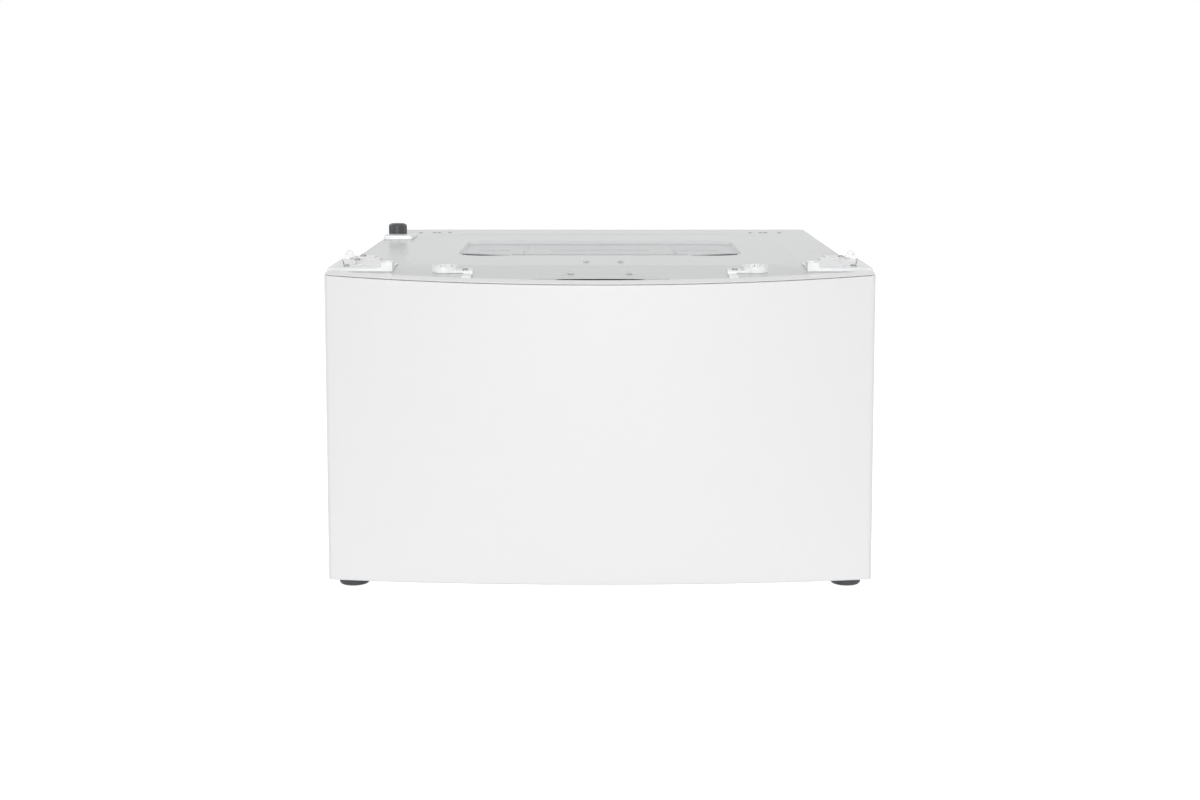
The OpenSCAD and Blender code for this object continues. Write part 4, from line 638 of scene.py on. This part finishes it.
def makeBowTree():
    sizes = {label: ("Float", value) for label, value in bowedFront["shape"].items()}
    tree, entry, exit = openShape("bowedFront", {"Geometry": ("Geometry", None), **sizes})
    plus, minus, times, over = sumsOf(tree)
    place = pointOf(tree)
    sideLine, lowerEdge, plateLevel = entry["Side Line"], entry["Lower Edge"], entry["Plate Height"]
    across = times(place["X"], place["X"])
    halfSquare = times(entry["Half Width"], entry["Half Width"])

    def bowLine(bow):
        # Y of a circle through both front corners that stands out by bow at the middle
        radius = over(plus(halfSquare, times(bow, bow)), times(bow, 2.0))
        root = calc(tree, "SQRT", minus(times(radius, radius), across))
        return minus(minus(plus(sideLine, radius), bow), root)

    # The height on the real front at each share of the blank's height
    share = over(place["Z"], entry["Blank Height"])
    low = plus(lowerEdge, times(entry["Lower Arch"], minus(1.0, over(across, halfSquare))))
    fall = times(minus(bowLine(entry["Top Bow"]), sideLine), entry["Slope"])
    high = plus(minus(plateLevel, entry["Top Gap"]), fall)
    level = plus(low, times(share, minus(high, low)))
    # The upper lip slopes like the plate above it
    level = plus(level, times(times(place["Y"], entry["Slope"]), share))
    # The bow grows from the bottom's to the top's
    upShare = over(minus(level, lowerEdge), minus(plateLevel, lowerEdge))
    bow = plus(entry["Bottom Bow"], times(upShare, minus(entry["Top Bow"], entry["Bottom Bow"])))
    bent = vector(tree, X=place["X"], Y=plus(place["Y"], bowLine(bow)), Z=level)
    moved = putNode(tree, "GeometryNodeSetPosition", {"Geometry": entry["Geometry"], "Position": bent})
    return closeTree(tree, entry, exit, moved[0])


frontMesh = shapeWith(makeBowTree(), "front_white", bowedFront["shape"], channelBlank(bowedFront),
                      evenNormals=True)
placePiece("front_panel_bowed", frontMesh, "front_white", "drawer", ["front_panel"])
print("front panel bent:", len(frontMesh.polygons), "faces")


# The four wound springs that carry the tub, with a closed coil at each end
springs = {"coil": 0.008, "wire": 0.0011, "turns": 6.6, "pitch": 2.05, "steps": 20, "sides": 10}


def makeSpringTree():
    tree, entry, exit = openShape("woundSprings", {
        "Coil Radius": ("Float", springs["coil"]), "Wire Radius": ("Float", springs["wire"]),
        "Turns": ("Float", springs["turns"]), "Height": ("Float", 0.024), "Spacing X": ("Float", 0.4),
        "Spacing Y": ("Float", 0.4), "Middle": ("Vector", (0, 0, 0)),
    })
    plus, minus, times, over = sumsOf(tree)
    coil, wire, turns, height = (entry[label] for label in ("Coil Radius", "Wire Radius", "Turns", "Height"))
    spiral = putNode(tree, "GeometryNodeCurveSpiral", {
        "Resolution": springs["steps"], "Rotations": turns, "Start Radius": coil, "End Radius": coil,
        "Height": height,
    })
    place = pointOf(tree)
    turn = times(over(place["Z"], height), turns)
    endRise = times(wire, springs["pitch"])
    middleRise = minus(height, plus(times(endRise, 2.0), times(wire, 2.0)))
    lastTurn = minus(turns, 1.0)
    level = wire
    for first, last, gain in ((0.0, 1.0, endRise), (1.0, lastTurn, middleRise), (lastTurn, turns, endRise)):
        share = putNode(tree, "ShaderNodeMapRange", {"Value": turn, "From Min": first, "From Max": last})
        level = plus(level, times(share[0], gain))
    spot = vector(tree, X=place["X"], Y=place["Y"], Z=level)
    wound = putNode(tree, "GeometryNodeSetPosition", {"Geometry": spiral[0], "Position": spot})
    spring = wireAlong(tree, wound[0], circle(tree, wire, springs["sides"]), **{"Fill Caps": True})
    corners = putNode(tree, "GeometryNodeMeshGrid", {
        "Size X": entry["Spacing X"], "Size Y": entry["Spacing Y"], "Vertices X": 2, "Vertices Y": 2,
    })
    placed = shifted(tree, corners[0], entry["Middle"])
    return closeTree(tree, entry, exit, copiesOn(tree, placed, spring))


springLow, springHigh = boxOf("suspension_springs")
springReach = springs["coil"] + springs["wire"]
springMesh = smoothMesh(shapeWith(makeSpringTree(), slotOf["suspension_springs"], {
    "Height": springHigh.z - springLow.z, "Spacing X": springHigh.x - springLow.x - 2 * springReach,
    "Spacing Y": springHigh.y - springLow.y - 2 * springReach,
    "Middle": ((springLow.x + springHigh.x) / 2, (springLow.y + springHigh.y) / 2, springLow.z),
}), sharp=50)
springPiece = placePiece("suspension_springs_wound", springMesh, slotOf["suspension_springs"], None,
                         ["suspension_springs"])
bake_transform(springPiece)


# The rubber bellows between the tub and the pump: five round folds
bellows = {"folds": 5, "inner": 0.0105, "outer": 0.0131, "wall": 0.0013, "cuff": 0.0025, "steps": 10,
           "around": 64}


def bellowsProfile(s, low, high):
    # A closed outline of (radius, height) points
    count = s["folds"] * s["steps"]
    span = high - low - 2 * s["cuff"]
    wave = [(s["inner"] + (s["outer"] - s["inner"]) * (0.5 - 0.5 * math.cos(2 * math.pi * k / s["steps"])),
             low + s["cuff"] + span * k / count) for k in range(count + 1)]
    outside = [(s["inner"], low), *wave, (s["inner"], high)]
    return outside + [(radius - s["wall"], z) for radius, z in reversed(outside)]


def makeBellows(s, low, high):
    # The outline is swept once round the pipe's upright axis
    middle = (low + high) / 2
    work = bmesh.new()
    rings = []
    for k in range(s["around"]):
        angle = 2 * math.pi * k / s["around"]
        rings.append([work.verts.new((middle.x + r * math.cos(angle), middle.y + r * math.sin(angle), z))
                      for r, z in bellowsProfile(s, low.z, high.z)])
    for here, there in zip(rings, rings[1:] + rings[:1]):
        bridge(work, here, there)
    return closeWork(work, "drainBellows", sharp=50)


bellowsLow, bellowsHigh = boxOf("drain_bellows")
bellowsPiece = placePiece("drain_bellows_folded", makeBellows(bellows, bellowsLow, bellowsHigh),
                          slotOf["drain_bellows"], None, ["drain_bellows"])
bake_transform(bellowsPiece)
print("springs and bellows made")


# Rounded outlines, and what is built up from them
leastCorner = 0.0001


def roundedLoop(s, grow=0.0, steps=8):
    # Points of a rounded rectangle, counter-clockwise, drawn outwards by grow
    corner = max(s["corner"] + grow, leastCorner)
    halfX, halfY = (s[side] / 2 + grow - corner for side in ("width", "length"))
    loop = []
    for k, (sideX, sideY) in enumerate(((1, 1), (-1, 1), (-1, -1), (1, -1))):
        for j in range(steps + 1):
            angle = math.pi / 2 * (k + j / steps)
            loop.append((s["middle"][0] + sideX * halfX + corner * math.cos(angle),
                         s["middle"][1] + sideY * halfY + corner * math.sin(angle)))
    return loop


def stackedLoops(work, s, profile, closed=False):
    # profile holds (grow, height) pairs; a closed one runs round a ring, an open one gets both caps
    loops = [[work.verts.new((x, y, z)) for x, y in roundedLoop(s, grow)] for grow, z in profile]
    for here, there in zip(loops, loops[1:]):
        bridge(work, here, there)
    if closed:
        bridge(work, loops[-1], loops[0])
    else:
        work.faces.new(loops[0])
        work.faces.new(loops[-1])


def sheetWithHoles(work, loops, top, thickness):
    # The first loop is the outline and the rest are holes
    edges, rims, below = [], [], {}
    for loop in loops:
        upper = [work.verts.new((x, y, top)) for x, y in loop]
        edges += [work.edges.new(pair) for pair in zip(upper, upper[1:] + upper[:1])]
        lower = [work.verts.new((x, y, top - thickness)) for x, y in loop]
        below.update(zip(upper, lower))
        rims.append((upper, lower))
    filled = bmesh.ops.triangle_fill(work, use_beauty=True, edges=edges)["geom"]
    for face in [item for item in filled if isinstance(item, bmesh.types.BMFace)]:
        work.faces.new([below[vert] for vert in reversed(face.verts)])
    for upper, lower in rims:
        bridge(work, upper, lower)


# The sunk cover in the plate, with pressed ribs and slots along its near edge, dark with the painted shade of
# the sheet below.
# Slots, vents and ribs are placed from that edge; a rib is its middle's x and y, its width and its length.
recess = {
    "outline": {"width": 0.34, "length": 0.208, "corner": 0.032, "middle": (0, 0.028)},
    "depth": 0.0035, "lap": 0.009, "sheet": 0.0012,
    "endSlot": ((0.111, 0.033), (0.15, 0.033), (0.161, 0.035), (0.167, 0.041), (0.1685, 0.05),
                (0.1685, 0.071), (0.15, 0.065), (0.13, 0.056), (0.111, 0.047)),
    "middleSlot": ((-0.107, 0.045), (0.107, 0.045), (0.107, 0.0565), (-0.107, 0.0565)),
    "vents": {"x": (-0.021, 0.024), "y": 0.192, "width": 0.022, "length": 0.008, "corner": 0.002},
    "ribs": ((-0.132, 0.1085, 0.04, 0.005), (0, 0.1085, 0.124, 0.005), (0.12, 0.1085, 0.056, 0.005),
             (-0.093, 0.118, 0.006, 0.12), (0.093, 0.118, 0.006, 0.12), (0, 0.184, 0.24, 0.004)),
    "ribRise": 0.0009, "ribSink": 0.0002, "ribShoulder": 0.0002, "ribCrown": 0.0008,
}


def makeRecessCover(s):
    near = s["outline"]["middle"][1] - s["outline"]["length"] / 2
    top = plateTop - s["depth"]
    holes = [[(side * x, near + y) for x, y in s["endSlot"]] for side in (-1, 1)]
    holes.append([(x, near + y) for x, y in s["middleSlot"]])
    for x in s["vents"]["x"]:
        holes.append(roundedLoop({**s["vents"], "middle": (x, near + s["vents"]["y"])}, steps=3))
    work = bmesh.new()
    sheetWithHoles(work, [roundedLoop(s["outline"], s["lap"]), *holes], top, s["sheet"])
    rise = [(0, top - s["ribSink"]), (-s["ribShoulder"], top + s["ribRise"] / 2),
            (-s["ribCrown"], top + s["ribRise"])]
    for x, y, width, length in s["ribs"]:
        bar = {"width": width, "length": length, "corner": min(width, length) / 2, "middle": (x, near + y)}
        stackedLoops(work, bar, rise)
    return closeWork(work, "recessCover")


# The plate's edge turns down into the recess in a soft double curve
lip = {"outer": 0.0014, "turn": 0.0004, "inner": 0.0016, "proud": 0.00006, "clear": 0.0001, "sheet": 0.0003,
       "steps": 8}


def makeRecessLip(s):
    high, drop = plateTop + s["proud"], recess["depth"] - s["clear"]
    upper = [(s["outer"], high)]
    for k in range(s["steps"] + 1):
        share = k / s["steps"]
        grow = s["turn"] - (s["turn"] + s["inner"]) * share
        upper.append((grow, high - drop * share * share * (3 - 2 * share)))
    lower = [(grow, z - s["sheet"]) for grow, z in reversed(upper)]
    work = bmesh.new()
    stackedLoops(work, recess["outline"], upper + lower, closed=True)
    return closeWork(work, "recessLip", sharp=60)


placePiece("recess_cover_pressed", makeRecessCover(recess), "recess_grey", "cabinet", ["recess_cover"])
placePiece("recess_lip", makeRecessLip(lip), "plate_grey", "cabinet")

# A black sheet lies close under the cover: painted shade that shows through its slots
slotShade = {"width": 0.346, "length": 0.2, "corner": 0.03, "middle": (0, 0.028), "top": 0.3596, "sheet": 0.0006}
slotShadeWork = bmesh.new()
stackedLoops(slotShadeWork, slotShade, [(0, slotShade["top"] - slotShade["sheet"]), (0, slotShade["top"])])
placePiece("damping_mat", closeWork(slotShadeWork, "dampingMat"), "seal_rubber", "cabinet")


# A thin shelf closes the plate's cut behind the finger pull's lens
pullShelf = {"half": 0.0748, "flat": 0.03, "deep": 0.0298, "short": 0.0038, "sheet": 0.0006, "least": 0.0004,
             "below": 0.00005, "round": 0.0002}


def makePullShelf(s):
    # Across the stretch where the solid's cut reaches further back than the lens
    work = bmesh.new()
    rows = []
    for k in range(pullLens["steps"] * 2 + 1):
        x = pullLens["half"] * (k / pullLens["steps"] - 1)
        reach = min(1.0, (s["half"] - abs(x)) / (s["half"] - s["flat"]))
        front, back = lensBack(x), pullLens["edge"] + s["short"] + (s["deep"] - s["short"]) * reach
        if back - front < s["least"]:
            continue
        section = ((front, s["round"]), (front + s["round"], 0.0), (back, 0.0), (back, s["sheet"]),
                   (front, s["sheet"]))
        rows.append([work.verts.new((x, y, plateHeight(y) - s["below"] - drop)) for y, drop in section])
    for here, there in zip(rows, rows[1:]):
        bridge(work, here, there)
    work.faces.new(rows[0])
    work.faces.new(rows[-1])
    return closeWork(work, "pullShelf")


placePiece("finger_pull_shelf", makePullShelf(pullShelf), "plate_grey", "cabinet")


# The pale block that carries the ribbed knob: a foot under it and a step in front of it
knobPad = {"width": 0.038, "corner": 0.003, "front": 0.15, "step": 0.028, "stepInset": 0.0005,
           "stepTop": 0.3706, "round": 0.0008, "roundSteps": 3}


def makeKnobPad(s, low, high):
    middle = low.x + s["width"] / 2
    foot = {"width": s["width"], "length": high.y - s["front"], "corner": s["corner"],
            "middle": (middle, (s["front"] + high.y) / 2)}
    step = {**foot, "width": s["width"] - 2 * s["stepInset"], "length": s["step"],
            "middle": (middle, s["front"] + s["step"] / 2 + s["stepInset"])}
    turns = [math.pi / 2 * k / s["roundSteps"] for k in range(s["roundSteps"] + 1)]
    work = bmesh.new()
    for shape, top in ((foot, high.z), (step, s["stepTop"])):
        edge = [(-s["round"] * (1 - math.cos(a)), top - s["round"] * (1 - math.sin(a))) for a in turns]
        stackedLoops(work, shape, [(0, low.z), *edge])
    return closeWork(work, "knobPad", sharp=50)


knobPadMesh = makeKnobPad(knobPad, *boxOf("anchor_block"))
placePiece("anchor_block_moulded", knobPadMesh, "clear_white", "cabinet", ["anchor_block"])
print("recess, finger pull and knob pad made")


# Thin collars round the plate's rear holes
rearCollars = {"across": (0.207, 0.221, 0.228, 0.247), "line": 0.268, "ring": 0.0024, "wire": 0.00045,
               "lift": 0.6, "steps": 24, "sides": 8}


def makeRingTree():
    tree, entry, exit = openShape("ringRow", {
        "Geometry": ("Geometry", None), "Ring Radius": ("Float", 0.004), "Wire Radius": ("Float", 0.0003),
    })
    path = circle(tree, entry["Ring Radius"], rearCollars["steps"])
    ring = wireAlong(tree, path, circle(tree, entry["Wire Radius"], rearCollars["sides"]))
    return closeTree(tree, entry, exit, copiesOn(tree, entry["Geometry"], ring))


collarLevel = plateTop + rearCollars["wire"] * rearCollars["lift"]
collarSpots = bpy.data.meshes.new("collarSpots")
collarSpots.from_pydata([(side * x, rearCollars["line"], collarLevel)
                         for x in rearCollars["across"] for side in (-1, 1)], [], [])
collarMesh = shapeWith(makeRingTree(), "screw_steel", {
    "Ring Radius": rearCollars["ring"], "Wire Radius": rearCollars["wire"],
}, collarSpots)
placePiece("rear_collars", smoothMesh(collarMesh, sharp=60), "screw_steel", "cabinet")


# Rows of pan heads on the sheet metal, each with a dark cross painted on as the shade of its cross recess;
# sizes are shares of a head's radius and rise
screwHead = {"sides": 20, "rim": 0.5, "crown": 0.62, "barLength": 0.95, "barWidth": 0.2, "barRise": 0.12,
             "barLevel": 0.99}


def makeScrewTree(s):
    tree, entry, exit = openShape("screwRow", {
        "Start": ("Vector", (0, 0, 0)), "Step": ("Vector", (0, 0, 0.05)), "Count": ("Int", 4),
        "Turn": ("Vector", (0, 0, 0)), "Head Radius": ("Float", 0.004), "Rise": ("Float", 0.0016),
        "Recess": ("Material", None),
    })
    times = sumsOf(tree)[2]
    radius, rise = entry["Head Radius"], entry["Rise"]
    rimDepth = times(rise, s["rim"])
    rim = putNode(tree, "GeometryNodeMeshCylinder", {
        "Vertices": s["sides"], "Radius": radius, "Depth": rimDepth,
    })
    crown = putNode(tree, "GeometryNodeMeshCone", {
        "Vertices": s["sides"], "Radius Top": times(radius, s["crown"]), "Radius Bottom": radius,
        "Depth": rimDepth,
    })
    steel = joined(tree, [
        shifted(tree, rim[0], vector(tree, Z=times(rimDepth, 0.5))),
        shifted(tree, crown[0], vector(tree, Z=rimDepth)),
    ])
    # A thin dark cross laid on the crown: painted shade standing in for the cross recess
    barSize = vector(tree, X=times(radius, s["barLength"]), Y=times(radius, s["barWidth"]),
                     Z=times(rise, s["barRise"]))
    bar = putNode(tree, "GeometryNodeMeshCube", {"Size": barSize})[0]
    cross = joined(tree, [bar, shifted(tree, bar, turn=(0, 0, math.pi / 2))])
    marked = putNode(tree, "GeometryNodeStoreNamedAttribute", {
        "Geometry": shifted(tree, cross, vector(tree, Z=times(rise, s["barLevel"]))), "Name": "recess",
        "Value": True,
    }, data_type="BOOLEAN", domain="FACE")[0]
    head = shifted(tree, joined(tree, [steel, marked]), turn=entry["Turn"])
    return closeTree(tree, entry, exit, copiesInRow(tree, entry, head), "recess", entry["Recess"])


# Each row: the body it rides on, the way it faces, its first screw and the step to the next
screwsPerRow = 5
rearInset = 0.0088
rearFace = boxOf("rear_panel")[1].y - rearInset
sideFace = boxOf("side_panel_right")[1].x
deckFace = boxOf("drawer_deck")[1].z
facing = {"rear": (-math.pi / 2, 0, 0), "right": (0, math.pi / 2, 0), "left": (0, -math.pi / 2, 0),
          "up": (0, 0, 0)}
screwRows = {
    "rear_screws_left": ("cabinet", "rear", (0.275, rearFace, 0.062), (0, 0, 0.062)),
    "rear_screws_right": ("cabinet", "rear", (-0.275, rearFace, 0.062), (0, 0, 0.062)),
    "rear_screws_low": ("cabinet", "rear", (-0.22, rearFace, 0.055), (0.11, 0, 0)),
    "side_screws_right": ("cabinet", "right", (sideFace, -0.21, 0.054), (0, 0.12, 0)),
    "side_screws_left": ("cabinet", "left", (-sideFace, -0.21, 0.054), (0, 0.12, 0)),
    "deck_screws_right": ("drawer", "up", (0.256, -0.2, deckFace), (0, 0.115, 0)),
    "deck_screws_left": ("drawer", "up", (-0.256, -0.2, deckFace), (0, 0.115, 0)),
}
screwTree = makeScrewTree(screwHead)
for name, (body, side, start, step) in screwRows.items():
    # The black plastic finish on each head's cross is painted shade
    rowMesh = shapeWith(screwTree, "shaft_steel", {
        "Start": start, "Step": step, "Count": screwsPerRow, "Turn": facing[side],
        "Recess": materials["dark_plastic"],
    })
    placePiece(name, smoothMesh(rowMesh, sharp=30), "shaft_steel", body)


# A row of small round indicators on the black panel
indicators = {"count": 7, "step": 0.014, "radius": 0.0011, "rise": 0.0004, "sides": 16}


def makeDotTree():
    tree, entry, exit = openShape("indicatorRow", {
        "Start": ("Vector", (0, 0, 0)), "Step": ("Vector", (0.01, 0, 0)), "Count": ("Int", 5),
        "Radius": ("Float", 0.001), "Rise": ("Float", 0.0003),
    })
    dot = putNode(tree, "GeometryNodeMeshCylinder", {
        "Vertices": indicators["sides"], "Radius": entry["Radius"], "Depth": entry["Rise"],
    })
    return closeTree(tree, entry, exit, copiesInRow(tree, entry, dot[0]))


panelLow, panelHigh = boxOf("control_panel")
firstDot = (1 - indicators["count"]) / 2 * indicators["step"]
dotMesh = shapeWith(makeDotTree(), "button_white", {
    "Start": (firstDot, (panelLow.y + panelHigh.y) / 2, panelHigh.z), "Step": (indicators["step"], 0, 0),
    "Count": indicators["count"], "Radius": indicators["radius"], "Rise": indicators["rise"],
})
placePiece("panel_indicators", smoothMesh(dotMesh, sharp=30), "button_white", "drawer")


# Staggered rows of small holes all round the wash basket's wall, each a black disc just inside the wall:
# painted shade in place of an opening
drumHoles = {"around": 44, "rows": 7, "hole": 0.0017, "sides": 8, "wall": 0.0012, "gap": 0.00015,
             "low": 0.155, "high": 0.29}


def makeHoleTree():
    tree, entry, exit = openShape("drumHoles", {
        "Around": ("Int", 44), "Rows": ("Int", 7), "Hole Radius": ("Float", 0.0017),
        "Wall Radius": ("Float", 0.22), "Low": ("Float", 0.15), "High": ("Float", 0.3),
        "Middle": ("Vector", (0, 0, 0)),
    })
    plus, minus, times, over = sumsOf(tree)
    height = minus(entry["High"], entry["Low"])
    rows = putNode(tree, "GeometryNodeMeshCylinder", {
        "Vertices": entry["Around"], "Side Segments": entry["Rows"], "Radius": entry["Wall Radius"],
        "Depth": height,
    }, fill_type="NONE")[0]
    first = shifted(tree, rows, vector(tree, Z=times(plus(entry["Low"], entry["High"]), 0.5)))
    halfRow = times(over(height, entry["Rows"]), 0.5)
    second = shifted(tree, first, vector(tree, Z=halfRow), vector(tree, Z=over(math.pi, entry["Around"])))
    points = shifted(tree, joined(tree, [first, second]), entry["Middle"])
    # Each hole is a black disc: painted shade, not an opening
    disc = putNode(tree, "GeometryNodeMeshCircle", {
        "Vertices": drumHoles["sides"], "Radius": entry["Hole Radius"],
    }, fill_type="NGON")[0]
    inwards = scaled(tree, putNode(tree, "GeometryNodeInputNormal")[0], -1.0)
    turn = putNode(tree, "FunctionNodeAlignRotationToVector", {"Vector": inwards}, axis="Z")[0]
    return closeTree(tree, entry, exit, copiesOn(tree, points, disc, Rotation=turn))


basketLow, basketHigh = boxOf("basket")
holeMesh = shapeWith(makeHoleTree(), "seal_rubber", {
    "Around": drumHoles["around"], "Rows": drumHoles["rows"], "Hole Radius": drumHoles["hole"],
    "Wall Radius": (basketHigh.x - basketLow.x) / 2 - drumHoles["wall"] - drumHoles["gap"],
    "Low": drumHoles["low"], "High": drumHoles["high"],
    "Middle": (0, (basketLow.y + basketHigh.y) / 2, 0),
})
placePiece("basket_holes", holeMesh, "seal_rubber", "basket")
print("screw rows and drum holes made")


# Stage: pale floor, plain studio light, the photograph's camera
studio = {
    "floorColour": 0.75, "floorGlow": 0.8, "floorReach": 30.0, "floorDrop": 0.0003,
    "domeLight": 0.27, "backdrop": 1.0,
    "key": {"place": (0, -11.9, 3.75), "aim": (0, -0.3, 0.2), "size": 5.7, "power": 862},
    "sides": {"place": (2.3, 1.3, 1.7), "aim": (0, 0, 0.2), "size": 1.6, "power": 20},
}
cameraSetup = {"place": (0, -2.2107, 0.5621), "pitch": 6.0, "lens": 54.09, "sensor": 36, "shift": -0.1013}


def makeWorld():
    # The camera, gloss and glass see a white backdrop; the object is lit by a dimmer dome
    world = bpy.data.worlds.new("studio")
    world.use_nodes = True
    tree = world.node_tree
    path = putNode(tree, "ShaderNodeLightPath")
    seen = calc(tree, "MAXIMUM", path["Is Camera Ray"], path["Is Glossy Ray"])
    seen = calc(tree, "MAXIMUM", seen, path["Is Transmission Ray"])
    rest = calc(tree, "MULTIPLY", seen, studio["backdrop"] - studio["domeLight"])
    feed(tree, tree.nodes["Background"].inputs, {
        "Strength": calc(tree, "ADD", rest, studio["domeLight"]), "Color": (1, 1, 1, 1),
    })
    bpy.context.scene.world = world


def makeFloor():
    reach, level = studio["floorReach"], -studio["floorDrop"]
    corners = [(-reach, -reach, level), (reach, -reach, level), (reach, reach, level), (-reach, reach, level)]
    mesh = bpy.data.meshes.new("floor")
    mesh.from_pydata(corners, [], [(0, 1, 2, 3)])
    addObject("floor", mesh)
    material, tree, surface = startMaterial("paleFloor", {"Roughness": 0.7, "Specular IOR Level": 0.1})
    tone = toned(tree, rgba([studio["floorColour"]] * 3), size=0.6, amount=0.01)
    path = putNode(tree, "ShaderNodeLightPath")
    seen = calc(tree, "MAXIMUM", path["Is Camera Ray"], path["Is Glossy Ray"])
    feed(tree, surface, {
        "Base Color": tone, "Emission Color": (1, 1, 1, 1),
        "Emission Strength": calc(tree, "MULTIPLY", seen, studio["floorGlow"]),
    })
    mesh.materials.append(material)


def makeLamp(name, setup, mirror=1):
    light = bpy.data.lights.new(name, "AREA")
    light.size = setup["size"]
    light.energy = setup["power"]
    lamp = addObject(name, light)
    lamp.location = Vector(setup["place"]) * Vector((mirror, 1, 1))
    lamp.rotation_euler = (Vector(setup["aim"]) - lamp.location).to_track_quat("-Z", "Y").to_euler()


def makeCamera(s):
    view = bpy.data.cameras.new("camera")
    view.lens = s["lens"]
    view.sensor_width = s["sensor"]
    view.shift_y = s["shift"]
    camera = addObject("camera", view)
    camera.location = s["place"]
    camera.rotation_euler = (math.radians(90 - s["pitch"]), 0, 0)
    bpy.context.scene.camera = camera


makeWorld()
makeFloor()
makeLamp("keyLamp", studio["key"])
makeLamp("rightLamp", studio["sides"])
makeLamp("leftLamp", studio["sides"], -1)
makeCamera(cameraSetup)
bpy.context.scene.view_settings.view_transform = "Standard"
print("stage set")
